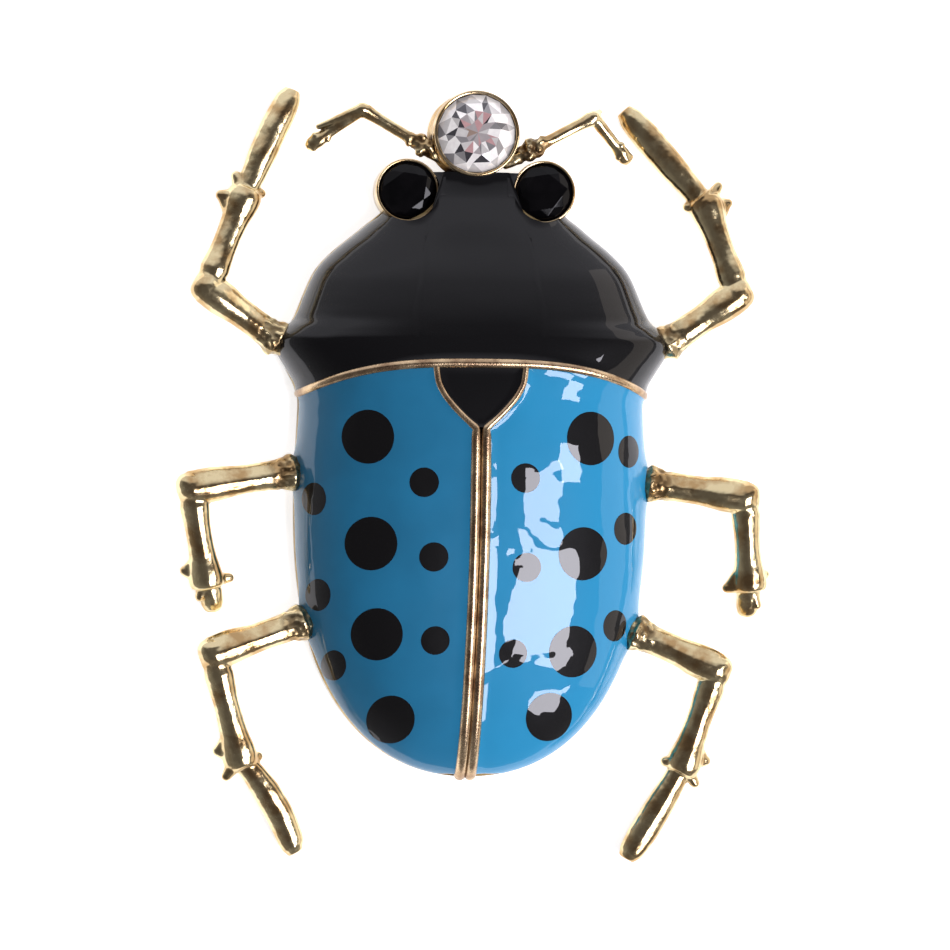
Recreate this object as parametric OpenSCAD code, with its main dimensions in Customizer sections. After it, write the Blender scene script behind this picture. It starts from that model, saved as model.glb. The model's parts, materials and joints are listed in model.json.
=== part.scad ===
// Insect brooch: an enamelled beetle with six legs, two feelers and three set stones.
// It lies on its back rim with the enamel up (+Z) and the head towards +Y.
// Lengths are in millimetres. The origin is under the middle, on the surface it lies on.

/* [Body] */
// Length of the domed body, from the tail to the front of the head
body_l = 49; // [46:0.5:53]
// Width of the body across the wing cases
body_w = 28.8; // [26:0.2:32]
// Height of the enamel at the top of the dome
crown_z = 8; // [7:0.25:10]
// Height of the bare metal rim under the enamel
rim_h = 1.2; // [0.8:0.1:1.6]
// How far the metal rim stands out past the enamel
rim_lip = 0.1; // [0.05:0.05:0.3]
// Thickness of the metal shell under the enamel
shell_t = 1.1; // [0.8:0.1:1.4]

/* [Enamel] */
// Thickness of the enamel
enamel_t = 0.7; // [0.5:0.05:0.9]
// Gap between the edges of the enamel and the metal
enamel_gap = 0.08; // [0.06:0.01:0.12]
// Gap between the underside of the enamel and its bed
bed_gap = 0.16; // [0.14:0.01:0.2]
// Thickness of a painted spot
spot_t = 0.1; // [0.08:0.01:0.16]
// Gap between a spot and the enamel below it
spot_gap = 0.08; // [0.06:0.01:0.12]
// Diameter of the large spots
spot_large_d = 4.3; // [3.6:0.1:4.8]
// Diameter of the spots at the sides
spot_side_d = 2.6; // [2:0.1:3]
// Diameter of the small spots
spot_small_d = 2.35; // [2:0.1:3]

/* [Metal lines] */
// Width of each of the two seam bars
seam_bar_w = 0.74; // [0.6:0.02:0.9]
// Width of the groove between the two seam bars
seam_groove_w = 0.1; // [0.06:0.02:0.2]
// Height of the metal lines above the enamel
line_rise = 0.25; // [0.15:0.05:0.4]
// Width of the line across the body
band_w = 0.56; // [0.4:0.02:0.8]
// Place of the middle of that line, along the body
band_y = 8.95; // [8:0.1:10]
// How far the ends of that line fall back towards the tail
band_drop = 2.45; // [1.5:0.1:3]
// Width of the small shield behind the line
shield_w = 7.4; // [6.4:0.2:8]
// Width of the line round the small shield
shield_line_w = 0.52; // [0.4:0.02:0.7]
// Length of the small shield
shield_l = 5.8; // [5:0.2:6.6]

/* [Stones] */
// Diameter of the clear stone
crystal_d = 6.35; // [6.1:0.05:6.6]
// How far the cup of the clear stone reaches into the front of the body
crystal_sink = 0.515; // [0.4:0.005:0.7]
// Height of the widest part of the clear stone
crystal_z = 3.6; // [3.4:0.1:4]
// Diameter of an eye stone
eye_d = 4.65; // [4.4:0.05:4.8]
// Distance of the eye stones from the front of the body
eye_back = 1.55; // [1.2:0.05:1.8]
// Distance between the centres of the two eye stones
eye_span = 11.1; // [10.8:0.1:11.6]
// Height of the widest part of an eye stone
eye_z = 3.1; // [3:0.1:3.5]
// Wall of the stone cups
cup_wall = 0.38; // [0.3:0.02:0.45]
// Gap between a stone and its cup
stone_gap = 0.06; // [0.05:0.01:0.1]

/* [Legs and feelers] */
// Length of one leg section, which the leg table takes shares of
leg_unit = 8; // [7.4:0.1:8.6]
// Half the thickness of a leg
leg_r = 1.15; // [0.95:0.05:1.25]
// Height of the middle of the feet
foot_z = 1.05; // [1:0.05:1.4]
// Height of the middle of the knees
knee_z = 3.1; // [2.6:0.1:3.8]
// Length of the spurs, from the middle of the ankle
spur_l = 2; // [1.6:0.1:2.4]
// Length of one feeler section, which the feeler table takes shares of
feeler_unit = 6.3; // [5.8:0.1:6.8]
// Half the thickness of a feeler
feeler_r = 0.5; // [0.42:0.02:0.6]

/* [Pin] */
// Length of the pin bar
pin_bar_l = 20; // [17:0.2:20.4]
// Width of the pin bar
pin_bar_w = 2.6; // [2:0.1:3.2]
// Thickness of the pin bar
pin_bar_t = 0.6; // [0.5:0.05:0.9]
// Diameter of the needle
needle_d = 0.8; // [0.6:0.05:1]
// Height of the needle above the surface
needle_z = 1; // [0.8:0.1:1.4]
// Open space between the needle and the bar
pin_space = 1.6; // [1.2:0.1:2]
// Place of the pin, along the body
pin_y = 8; // [6:0.5:9]
// Distance between the two posts that carry the bar
post_span = 16; // [12:0.5:17]
// Diameter of those posts
post_d = 3; // [2:0.1:3.6]
// Gap between the bar and its posts
post_gap = 0.05; // [0.04:0.01:0.1]

/* [Hidden] */
half_l = body_l / 2;
half_w = body_w / 2;
dome_h = crown_z - rim_h;
floor_depth = enamel_t + bed_gap;
hollow_inset = floor_depth + shell_t;
seam_x = (seam_bar_w + seam_groove_w) / 2;
line_sink = floor_depth + 0.3;
widest_y = -0.08 * half_l;
highest_y = 0.082 * half_l;
crystal_cup_r = crystal_d / 2 + stone_gap + cup_wall;
eye_cup_r = eye_d / 2 + stone_gap + cup_wall;
crystal_y = half_l + crystal_cup_r - crystal_sink;
eye_y = half_l - eye_back;
girdle_h = 0.2;
stone_depth = 0.34;
leg_root_z = rim_h + 0.9;

// Front of the outline: place along the half length, share of the half width
OUTLINE = [
    [-0.080, 1.000], [0.140, 0.986], [0.237, 0.979], [0.290, 1.000], [0.340, 1.042],
    [0.390, 1.078], [0.437, 1.100], [0.475, 1.064], [0.510, 1.012], [0.540, 0.990],
    [0.590, 0.956], [0.657, 0.906], [0.690, 0.870], [0.722, 0.820], [0.755, 0.758],
    [0.790, 0.682], [0.830, 0.600], [0.872, 0.513], [0.920, 0.470], [1.000, 0.360]];
// Front of the ridge line: place along the half length, share of the dome height
RIDGE = [
    [0.082, 1.000], [0.204, 0.990], [0.367, 0.945], [0.490, 0.870], [0.633, 0.750],
    [0.755, 0.620], [0.837, 0.530], [0.918, 0.430], [1.000, 0.360]];
// Squareness of the cross-section: place along the half length, exponent
SQUARENESS = [[0.25, 2.6], [0.45, 3.2]];
// Side of the shield: share of the shield length from its point, share of its half width
SHIELD = [[0, 0], [0.09, 0.10], [0.26, 0.38], [0.42, 0.62], [0.58, 0.81], [0.75, 0.93], [1, 0.98], [1.3, 1.0]];
// Rows of a wing case, as shares of its length from the front line to the tail, and as places
// at the two legs, in shares of the half width of the notch that lets a leg through
WING_ROWS = [0, 0.04, 0.08, 0.12, 0.137, 0.38, 0.46, 0.71, 0.78, 0.85, 0.91, 0.95, 0.98, 0.995];
NOTCH_ROWS = [-1.14, -1, -0.5, 0, 0.5, 1, 1.14];
// Rows of the head, as shares of the way from the front line to the stone cups
HEAD_ROWS = [0, 0.52, 0.60, 0.68, 0.76, 0.83, 0.90, 0.95, 1];
// Columns of the head, as shares of its half width
HEAD_COLUMNS = [0, 0.18, 0.34, 0.37, 0.386, 0.44, 0.54, 0.66, 0.79, 0.89, 0.97, 1];
// Spots: place along the half length, share of the local half width, size (0 large, 1 side, 2 small)
SPOTS_LEFT = [
    [0.123, 0.630, 0], [-0.225, 0.602, 0], [-0.522, 0.603, 0], [-0.805, 0.668, 0],
    [-0.081, 0.905, 1], [-0.396, 0.905, 1], [-0.628, 0.905, 1],
    [-0.024, 0.315, 2], [-0.267, 0.257, 2], [-0.541, 0.257, 2]];
SPOTS_RIGHT = [
    [0.123, 0.633, 0], [-0.255, 0.593, 0], [-0.578, 0.612, 0], [-0.796, 0.605, 0],
    [0.081, 0.868, 1], [-0.173, 0.845, 1], [-0.494, 0.850, 1],
    [-0.008, 0.251, 2], [-0.300, 0.270, 2], [-0.584, 0.228, 2]];
// Legs: side, root along the half length, then share of the unit and angle for thigh, shin
// and foot, bow of the foot as a share of its length, and the angles of three spurs
LEGS = [
    [-1, 0.43, 0.90, 145, 0.99, 68, 1.18, 66, -0.01, 173, 109, 16],
    [1, 0.43, 0.89, 35, 0.97, 109, 1.24, 131, -0.02, 7, 56, 186],
    [-1, 0.01, 1.07, 189, 0.94, 280, 0.32, 285, 0, 158, 5, 250],
    [1, -0.02, 1.00, 352, 0.88, 275, 0.33, 268, 0, 193, 290, 29],
    [-1, -0.48, 0.98, 199, 1.09, 285, 1.10, 301, 0.03, 165, 235, 2],
    [1, -0.51, 0.92, 336, 1.02, 252, 1.10, 240, -0.01, 6, 301, 174]];
// Sections of a thigh, shin and foot: share of the way along it, share of the leg thickness
THIGH = [[-0.13, 1.24], [0.05, 1.20], [0.16, 1.06], [0.55, 1.02], [0.85, 1.10], [1.02, 1.08]];
SHIN = [[-0.08, 1.02], [0.14, 1.02], [0.50, 0.90], [0.82, 0.96], [1.00, 1.16], [1.08, 1.00]];
FOOT = [[-0.02, 0.98], [0.10, 1.12], [0.20, 0.88], [0.48, 1.00], [0.72, 1.02], [0.90, 0.80], [0.98, 0.52], [1.02, 0.20]];
// Feelers: side, root across and along from the clear stone in shares of its cup's radius, then
// share of the unit and angle for the near and far part, and for the small barb at the elbow
FEELERS = [
    [-1, -1.115, -0.314, 0.95, 150, 0.84, 215, 0.60, 202],
    [1, 1.220, -0.349, 0.94, 28, 0.74, 311, 0.12, 44]];
FEELER_NEAR = [[-0.22, 1.7], [0.10, 1.35], [0.35, 0.95], [0.75, 1.0], [0.96, 1.25]];
FEELER_FAR = [[-0.02, 1.2], [0.12, 1.05], [0.60, 0.92], [0.82, 1.25], [0.94, 1.1], [1.02, 0.5]];

function unit(v) = v / max(norm(v), 1e-9);
function clip(v, low, high) = max(low, min(high, v));
// The list in rising (way 1) or falling (way -1) order, without steps under 0.05
function sorted(list, way) =
    len(list) == 0
        ? []
        : let (
            first = way > 0 ? min(list) : max(list),
            rest = [for (v = list) if (abs(v - first) > 0.05) v])
        concat([first], sorted(rest, way));
function tail_share(y, top_y) = clip((top_y - y) / (top_y + half_l), 0, 1);

// Half width of the body at y, and height of its ridge above the rim
function width_at(y) =
    y < widest_y
        ? half_w * pow(1 - pow(tail_share(y, widest_y), 2.5), 1 / 2.2)
        : half_w * lookup(y / half_l, OUTLINE);
function ridge_at(y) =
    y < highest_y
        ? dome_h * pow(1 - pow(tail_share(y, highest_y), 1.7), 1 / 1.8)
        : dome_h * lookup(y / half_l, RIDGE);
function squareness(y) = lookup(y / half_l, SQUARENESS);
function slope(low_value, high_value, step) = (high_value - low_value) / step;
function width_slope(y) = slope(width_at(y - 0.05), width_at(min(y + 0.05, half_l)), 0.1);
function ridge_slope(y) = slope(ridge_at(y - 0.05), ridge_at(min(y + 0.05, half_l)), 0.1);

// Outward direction of the dome over (x, y), and the point that lies depth under its skin
function dome_fall(x, y) = sqrt(max(1e-6, 1 - pow(min(1, abs(x) / width_at(y)), squareness(y))));
function dome_out(x, y) =
    let (w = width_at(y), c = ridge_at(y), a = squareness(y), u = min(1, abs(x) / w), f = dome_fall(x, y))
    unit([
        a * pow(u, a - 1) * sign(x) / w,
        -a * pow(u, a) * width_slope(y) / w - 2 * f * f * ridge_slope(y) / c,
        2 * f / c]);
function dome_point(x, y, depth) =
    let (w = width_at(y), x_in = clip(x, -w, w))
    [x_in, y, rim_h + ridge_at(y) * dome_fall(x_in, y)] - depth * dome_out(x_in, y);
// Place across the body of the share s, so that equal steps of s are even steps over the dome
function across(s, y) = width_at(y) * sign(s) * pow(sin(90 * min(1, abs(s))), 2 / squareness(y));
function across_share(x, y) = asin(pow(min(1, x / width_at(y)), squareness(y) / 2)) / 90;

// Middle of the line across the body, and how much it slants at x
band_half_w = width_at(band_y - band_drop);
function band_at(x) = band_y - band_drop * pow(min(1, abs(x) / band_half_w), 3);
function band_slant(x) = norm([1, 3 * band_drop / band_half_w * pow(min(1, abs(x) / band_half_w), 2)]);
band_edge = band_w / 2 + enamel_gap;
shield_tip_y = band_y - shield_l;
// Middle of a seam bar at y, which widens round the shield, and how much it slants there
function seam_at(y) = max(seam_x, shield_w / 2 * lookup((y - shield_tip_y) / shield_l, SHIELD));
function seam_slant(y) = norm([1, slope(seam_at(y - 0.1), seam_at(y + 0.1), 0.2)]);
// Half the width of a seam bar, which narrows round the shield
function seam_half(y) =
    seam_bar_w / 2 + (shield_line_w - seam_bar_w) / 2 * clip((y - shield_tip_y) / (0.2 * shield_l), 0, 1);
function seam_outer(y) = seam_at(y) + (seam_half(y) + enamel_gap) * seam_slant(y);
function seam_inner(y) = seam_at(y) - (seam_half(y) + enamel_gap) * seam_slant(y);

// A closed solid through rings of points, each ring with the same number of points
module ring_solid(rings, tint) {
    n = len(rings[0]);
    last = len(rings) - 1;
    points = [for (ring = rings) for (p = ring) p];
    sides = [for (r = [0 : last - 1]) for (i = [0 : n - 1])
        let (a = r * n + i, b = r * n + (i + 1) % n, c = a + n, d = b + n)
        each [[a, b, d], [a, d, c]]];
    first_cap = [for (i = [1 : n - 2]) [0, i + 1, i]];
    last_cap = [for (i = [1 : n - 2]) [last * n, last * n + i, last * n + i + 1]];
    color(tint) polyhedron(points = points, faces = concat(sides, first_cap, last_cap), convexity = 8);
}

// A closed plate between an upper and a lower grid of points with the same rows and columns
module plate(upper, lower, tint) {
    rows = len(upper);
    cols = len(upper[0]);
    n = rows * cols;
    points = concat([for (row = upper) for (p = row) p], [for (row = lower) for (p = row) p]);
    top = [for (r = [0 : rows - 2]) for (c = [0 : cols - 2])
        let (a = r * cols + c, b = a + 1, d = a + cols, e = d + 1)
        each [[a, d, e], [a, e, b]]];
    bottom = [for (f = top) [f[0] + n, f[2] + n, f[1] + n]];
    edge = concat(
        [for (c = [0 : cols - 2]) [c, c + 1]],
        [for (r = [0 : rows - 2]) [r * cols + cols - 1, (r + 1) * cols + cols - 1]],
        [for (c = [cols - 1 : -1 : 1]) [(rows - 1) * cols + c, (rows - 1) * cols + c - 1]],
        [for (r = [rows - 1 : -1 : 1]) [r * cols, (r - 1) * cols]]);
    walls = [for (e = edge) each [[e[0], e[1], e[1] + n], [e[0], e[1] + n, e[0] + n]]];
    color(tint) polyhedron(points = points, faces = concat(top, bottom, walls), convexity = 8);
}

// The dome at a depth under the skin, closed along its rim
function dome_ring(y, depth) =
    let (arc = [for (i = [-7 : 7]) dome_point(across(i / 7, y), y, depth)])
    concat(arc, [[arc[14][0], arc[14][1], 0.2], [arc[0][0], arc[0][1], 0.2]]);
function tail_rows(from_y, to_y, count) =
    [for (i = [0 : count]) from_y + (to_y - from_y) * sin(90 * i / count)];
dome_rows = concat(
    [half_l - 0.1, 0.9 * half_l],
    [for (i = [len(OUTLINE) - 3 : -1 : 1]) OUTLINE[i][0] * half_l],
    tail_rows(widest_y, 0.02 - half_l, 14));

module metal_dome() {
    ring_solid([for (y = dome_rows) dome_ring(y, floor_depth)], "Goldenrod");
}

// The flat outline of the body, grown or shrunk sideways
function outline_points(grow, front_y, back_y) =
    let (ys = concat([front_y], [for (y = dome_rows) if (y < front_y - 0.2 && y > back_y + 0.2) y], [back_y]))
    concat(
        [for (y = ys) [max(0.3, width_at(y) + grow), y]],
        [for (i = [len(ys) - 1 : -1 : 0]) [-max(0.3, width_at(ys[i]) + grow), ys[i]]]);
module metal_rim() {
    color("Goldenrod") linear_extrude(rim_h - enamel_gap)
        polygon(outline_points(rim_lip, half_l - 1, 0.02 - half_l));
}

// The open hollow in the back, which follows the dome inside the metal
hollow_back_y = hollow_inset - half_l;
hollow_front_y = eye_y - eye_cup_r - 0.7;
function hollow_ring(y) =
    let (
        outer_y = y < 0 ? y * half_l / -hollow_back_y : y,
        w = max(0.4, width_at(max(outer_y, 0.02 - half_l)) - hollow_inset),
        z = max(1.2, rim_h + ridge_at(y) - hollow_inset),
        a = squareness(y))
    concat(
        [for (i = [-6 : 6]) [w * sign(i) * pow(sin(15 * abs(i)), 2 / a), y, z * max(0, cos(15 * i))]],
        [[w, y, -1], [-w, y, -1]]);
module back_hollow() {
    rows = concat([hollow_front_y, 0.7 * half_l, 0.55 * half_l, 0.44 * half_l, 0.33 * half_l, 0.2 * half_l],
        tail_rows(0, hollow_back_y, 9));
    ring_solid([for (y = rows) hollow_ring(y)], "Goldenrod");
}

// A raised line along the dome: its section stands on the outward direction of the dome
function line_ring(at, out, along, half) =
    let (side = unit(cross(out, along)))
    [for (q = [[-half, -line_sink], [-half, line_rise * 0.3], [-half * 0.5, line_rise], [half * 0.5, line_rise], [half, line_rise * 0.3], [half, -line_sink]])
        at + q[0] * side + q[1] * out];
// Each place on the path is [x, y, half width of the line]
module raised_line(path) {
    last = len(path) - 1;
    at = [for (p = path) dome_point(p[0], p[1], 0)];
    rings = [for (i = [0 : last])
        line_ring(at[i], dome_out(path[i][0], path[i][1]), at[min(i + 1, last)] - at[max(i - 1, 0)], path[i][2])];
    ring_solid(rings, "Gold");
}
module band_line() {
    raised_line([for (i = [-10 : 10])
        let (x = across(i / 10.2, band_y - band_drop))
        [x, band_at(x), band_w / 2]]);
}
module seam_line(side) {
    top_y = band_at(shield_w / 2);
    ys = concat(
        [for (s = [1, 0.75, 0.58, 0.42, 0.26, 0.1, 0.02]) shield_tip_y + s * (top_y - shield_tip_y)],
        tail_rows(shield_tip_y - 1.2, 0.1 - half_l, 11));
    raised_line([for (y = ys) [side * seam_at(y), y, seam_half(y)]]);
}

// A closed cup with a bore for the stone and a seat under its widest part
module stone_cup(d, seat_z, low_z, x, y) {
    bore = d / 2 + stone_gap;
    outer = bore + cup_wall;
    lip_z = seat_z + 0.42;
    seat = seat_z - girdle_h - stone_gap / 2;
    color("Gold") translate([x, y, 0]) rotate_extrude($fn = 24) polygon([
        [0, low_z], [outer * 0.72, low_z], [outer, low_z + 1.1], [outer, lip_z - 0.1],
        [outer - 0.1, lip_z], [bore + 0.02, lip_z], [bore, seat],
        [0, seat - stone_gap - bore * 2 * stone_depth]]);
}
// The room that a cup needs, so that the head stays clear of it
module cup_room(d, x, y) {
    translate([x, y, 0.75]) cylinder(h = crown_z, r = d / 2 + stone_gap + cup_wall - 0.05, $fn = 24);
}

// A tapering rod along a path of sections [x, y, z, radius], each turned a little from the last
function rod_ring(p, along, sides, turn) =
    let (side = unit(cross(along, [0, 0, 1])), up = unit(cross(side, along)))
    [for (i = [0 : sides - 1]) let (t = 360 * (i + 0.5) / sides + turn)
        [p[0], p[1], p[2]] + p[3] * (cos(t) * side + 0.88 * sin(t) * up)];
module rod(sections, sides) {
    last = len(sections) - 1;
    ring_solid([for (i = [0 : last])
        let (a = sections[max(i - 1, 0)], b = sections[min(i + 1, last)])
        rod_ring(sections[i], [b[0] - a[0], b[1] - a[1], b[2] - a[2]], sides, 8 * i)], "Gold");
}
function along_part(table, start, end, bow, thick) =
    let (way = end - start, flat = unit([-way[1], way[0], 0]))
    [for (t = table) let (s = t[0], p = start + s * way + bow * norm(way) * 4 * s * (1 - s) * flat)
        [p[0], p[1], p[2], t[1] * thick]];
function heading(angle, length, rise) = [length * cos(angle), length * sin(angle), rise];
module knot(p, r, sides) {
    translate([p[0], p[1], p[2]]) sphere(r = r, $fn = sides);
}
module spur(p, angle, length, r) {
    tip = p + heading(angle, length, -0.1);
    color("Gold") hull() {
        knot(p, r, 6);
        knot(tip, 0.22, 4);
    }
}

module leg(row) {
    side = row[0];
    root_y = row[1] * half_l;
    ankle_z = (knee_z + foot_z) / 2 - 0.1;
    root = [side * (width_at(root_y) - enamel_t / 2), root_y, leg_root_z];
    knee = root + heading(row[3], row[2] * leg_unit + enamel_t / 2, knee_z - leg_root_z);
    ankle = knee + heading(row[5], row[4] * leg_unit, ankle_z - knee_z);
    foot = ankle + heading(row[7], row[6] * leg_unit, foot_z - ankle_z);
    rod(along_part(THIGH, root, knee, 0, leg_r), 8);
    rod(along_part(SHIN, knee, ankle, 0, leg_r), 8);
    rod(along_part(FOOT, ankle, foot, row[8], leg_r * 0.86), 8);
    corner = unit(unit(knee - root) + unit(knee - ankle));
    color("Gold") hull() {
        knot(knee, leg_r * 1.1, 8);
        knot(knee + leg_r * 0.35 * corner, leg_r * 0.8, 6);
    }
    for (i = [9 : 11])
        spur(ankle, row[i], spur_l * (i == 11 ? 0.8 : 1), leg_r * (0.54 - 0.04 * (i - 9)));
}

module feeler(row) {
    root_z = crystal_z - 1;
    root = [row[1] * crystal_cup_r, crystal_y + row[2] * crystal_cup_r, root_z];
    elbow = root + heading(row[4], row[3] * feeler_unit, 0.3);
    tip = elbow + heading(row[6], row[5] * feeler_unit, -1.2);
    rod(along_part(FEELER_NEAR, root, elbow, 0, feeler_r), 6);
    rod(along_part(FEELER_FAR, elbow, tip, 0, feeler_r), 6);
    color("Gold") hull() {
        knot(elbow, feeler_r * 1.15, 6);
        knot(elbow + heading(row[8], row[7] * feeler_unit, -0.5), feeler_r * 0.5, 5);
    }
}

pin_bar_z = needle_z + needle_d / 2 + pin_space;
post_low_z = pin_bar_z + pin_bar_t + post_gap;
module pin_post(side) {
    x = side * post_span / 2;
    roof_z = hollow_ring(pin_y)[6][2] * pow(1 - pow(abs(x) / (width_at(pin_y) - hollow_inset), squareness(pin_y)), 0.5);
    color("Goldenrod") translate([x, pin_y, post_low_z])
        cylinder(h = roof_z - post_low_z + shell_t * 0.8, d = post_d, $fn = 16);
}

module casting() {
    color("Gold") union() {
        difference() {
            union() {
                difference() {
                    union() {
                        metal_dome();
                        metal_rim();
                        band_line();
                        seam_line(-1);
                        seam_line(1);
                    }
                    cup_room(crystal_d, 0, crystal_y);
                    for (side = [-1, 1])
                        cup_room(eye_d, side * eye_span / 2, eye_y);
                }
                for (row = LEGS)
                    leg(row);
                for (row = FEELERS)
                    feeler(row);
            }
            back_hollow();
        }
        stone_cup(crystal_d, crystal_z, 0.7, 0, crystal_y);
        for (side = [-1, 1])
            stone_cup(eye_d, eye_z, 0.7, side * eye_span / 2, eye_y);
        for (side = [-1, 1])
            pin_post(side);
    }
}

// Lower edge of the enamel, which arches over the root of each leg
notch_rise = leg_r * THIGH[0][1] * 0.88 + enamel_gap;
function notch_r(row) =
    (leg_r * THIGH[0][1] + enamel_gap) / abs(cos(row[3])) + enamel_t / 2 * abs(tan(row[3])) + 0.3;
function notch_z(row, y) =
    let (q = (y - row[1] * half_l) / notch_r(row))
    abs(q) > 1.001 ? rim_h : leg_root_z + enamel_t / 2 + notch_rise * sqrt(max(0, 1 - q * q));
function edge_z(side, y) = max([for (row = LEGS) if (row[0] == side) notch_z(row, y)]);
function edge_u(side, y) = pow(1 - pow(min(1, (edge_z(side, y) - rim_h) / ridge_at(y)), 2), 1 / squareness(y));
// Places of the rows at a leg
function notch_places(row) = [for (q = NOTCH_ROWS) row[1] * half_l - q * notch_r(row)];

// Front edge of the head enamel, which goes round the stone cups
function cup_front(x) =
    let (
        eye_r = eye_cup_r + enamel_gap,
        top_r = crystal_cup_r + enamel_gap,
        reach = abs(x) - eye_span / 2,
        between = abs(x) < eye_span / 2 - eye_r)
    between
        ? crystal_y - sqrt(max(0, top_r * top_r - x * x))
        : eye_y - sqrt(max(0, eye_r * eye_r - reach * reach));
head_edge_y = 0.872 * half_l;
head_back_y = band_y - band_drop + band_edge * band_slant(band_half_w);
head_way = head_edge_y - head_back_y;
function head_point(s, side_y, depth) =
    let (
        t = (side_y - head_back_y) / head_way,
        x = s * width_at(side_y) * edge_u(s < 0 ? -1 : 1, side_y),
        back_y = band_at(x) + band_edge * band_slant(x),
        front_y = min(cup_front(s * width_at(head_edge_y)), 0.978 * half_l),
        y = min(back_y + t * (front_y - back_y), cup_front(x)))
    dome_point(x, y, depth);
head_columns = concat([for (i = [len(HEAD_COLUMNS) - 1 : -1 : 1]) -HEAD_COLUMNS[i]], HEAD_COLUMNS);
// The two front legs share their rows
head_rows = sorted(concat(
    [for (t = HEAD_ROWS) head_back_y + t * head_way],
    notch_places(LEGS[0]), notch_places(LEGS[1])), 1);
module head_enamel() {
    plate(
        [for (y = head_rows) [for (s = head_columns) head_point(s, y, 0)]],
        [for (y = head_rows) [for (s = head_columns) head_point(s, y, enamel_t)]], "#1A191D");
}

// Wing case: rows bend with the front line and grow straight towards the tail
wing_front_y = band_y - band_drop - band_edge * band_slant(band_half_w);
wing_tail_y = 0.05 - half_l;
wing_way = wing_tail_y - wing_front_y;
function wing_point(side, s, side_y, depth) =
    let (
        bend = pow(1 - (side_y - wing_front_y) / wing_way, 2),
        end = across_share(width_at(side_y) * edge_u(side, side_y), side_y),
        inner_y = side_y + bend * (band_at(seam_at(side_y)) - band_at(band_half_w)),
        start = across_share(min(seam_outer(inner_y), width_at(side_y) - 0.3), side_y),
        x = across(start + s * (end - start), side_y),
        y = side_y + bend * (band_at(x) - band_at(band_half_w)))
    dome_point(side * x, y, depth);
function wing_rows(side) = sorted(concat(
    [for (t = WING_ROWS) wing_front_y + t * wing_way],
    [for (i = [2 : 5]) if (LEGS[i][0] == side) each notch_places(LEGS[i])]), -1);
module wing(side) {
    columns = side > 0 ? [1 : -1 / 10 : -0.001] : [0 : 1 / 10 : 1.001];
    plate(
        [for (y = wing_rows(side)) [for (s = columns) wing_point(side, s, y, 0)]],
        [for (y = wing_rows(side)) [for (s = columns) wing_point(side, s, y, enamel_t)]], "#2A7FB5");
}

// Shield: from its point to the line across the body
function shield_point(s, t, depth) =
    let (
        low = shield_tip_y + 0.12 * shield_l,
        high = band_at(0) - band_edge,
        y0 = low + t * (high - low),
        x = s * max(0.05, seam_inner(y0)),
        y = y0 + t * (band_at(x) - band_at(0)))
    dome_point(x, y, depth);
module scutellum_enamel() {
    rows = [0, 0.14, 0.3, 0.5, 0.7, 0.86, 1];
    plate(
        [for (t = rows) [for (s = [-1 : 0.4 : 1.001]) shield_point(s, t, 0)]],
        [for (t = rows) [for (s = [-1 : 0.4 : 1.001]) shield_point(s, t, enamel_t)]], "#1A191D");
}

// A painted spot: a thin round plate that lies on the dome
function spot_size(row) = [spot_large_d, spot_side_d, spot_small_d][row[2]];
function spot_point(side, row, ring, turn, depth) =
    let (
        cy = row[0] * half_l,
        cx = side * row[1] * width_at(cy),
        out = dome_out(cx, cy),
        r = ring * spot_size(row) / 2)
    dome_point(cx + r * cos(turn) * out[2], cy + r * sin(turn) * norm([out[0], out[2]]), depth);
module spot(side, row) {
    n = row[2] == 0 ? 12 : 10;
    low = -spot_gap;
    high = -spot_gap - spot_t;
    turns = [for (i = [0 : n - 1]) 360 * i / n];
    top_rings = [for (ring = [1, 0.55]) [for (t = turns) spot_point(side, row, ring, t, high)]];
    low_rings = [for (ring = [0.55, 1]) [for (t = turns) spot_point(side, row, ring, t, low)]];
    rings = concat(low_rings, top_rings);
    last = 3 * n;
    points = concat([for (ring = rings) for (p = ring) p],
        [spot_point(side, row, 0, 0, low)], [spot_point(side, row, 0, 0, high)]);
    walls = [for (r = [0 : 2]) for (i = [0 : n - 1])
        let (a = r * n + i, b = r * n + (i + 1) % n)
        each [[a, b + n, b], [a, a + n, b + n]]];
    low_fan = [for (i = [0 : n - 1]) [i, (i + 1) % n, 4 * n]];
    top_fan = [for (i = [0 : n - 1]) [last + (i + 1) % n, last + i, 4 * n + 1]];
    color("#1A191D") polyhedron(points = points, faces = concat(walls, low_fan, top_fan), convexity = 4);
}
module spots(side, rows) {
    for (row = rows)
        spot(side, row);
}

// A brilliant-cut stone: table, eight star, eight kite and sixteen girdle facets over a pointed back
module brilliant(d, x, y, z, tint) {
    r = d / 2;
    table_r = 0.58 * r;
    star_r = 0.79 * r;
    crown_h = 0.15 * d;
    star_z = crown_h - crown_h * (star_r * cos(22.5) - table_r) / (r - table_r);
    function ring(radius, height, n, start) =
        [for (i = [0 : n - 1]) [x + radius * cos(start + 360 * i / n), y + radius * sin(start + 360 * i / n), z + height]];
    points = concat(
        ring(table_r, crown_h, 8, 0), ring(star_r, star_z, 8, 22.5), ring(r, 0, 16, 0),
        ring(r, -girdle_h, 16, 0), [[x, y, z - girdle_h - stone_depth * d]]);
    faces = concat(
        [[for (i = [7 : -1 : 0]) i]],
        [for (i = [0 : 7]) [i, (i + 1) % 8, 8 + i]],
        [for (i = [0 : 7]) each [[i, 8 + i, 16 + 2 * i], [i, 16 + 2 * i, 8 + (i + 7) % 8]]],
        [for (i = [0 : 7]) each [[8 + i, 16 + 2 * i + 1, 16 + 2 * i], [8 + i, 16 + (2 * i + 2) % 16, 16 + 2 * i + 1]]],
        [for (i = [0 : 15]) each [[16 + i, 16 + (i + 1) % 16, 32 + (i + 1) % 16], [16 + i, 32 + (i + 1) % 16, 32 + i]]],
        [for (i = [0 : 15]) [32 + i, 32 + (i + 1) % 16, 48]]);
    color(tint) polyhedron(points = points, faces = faces, convexity = 2);
}
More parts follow.
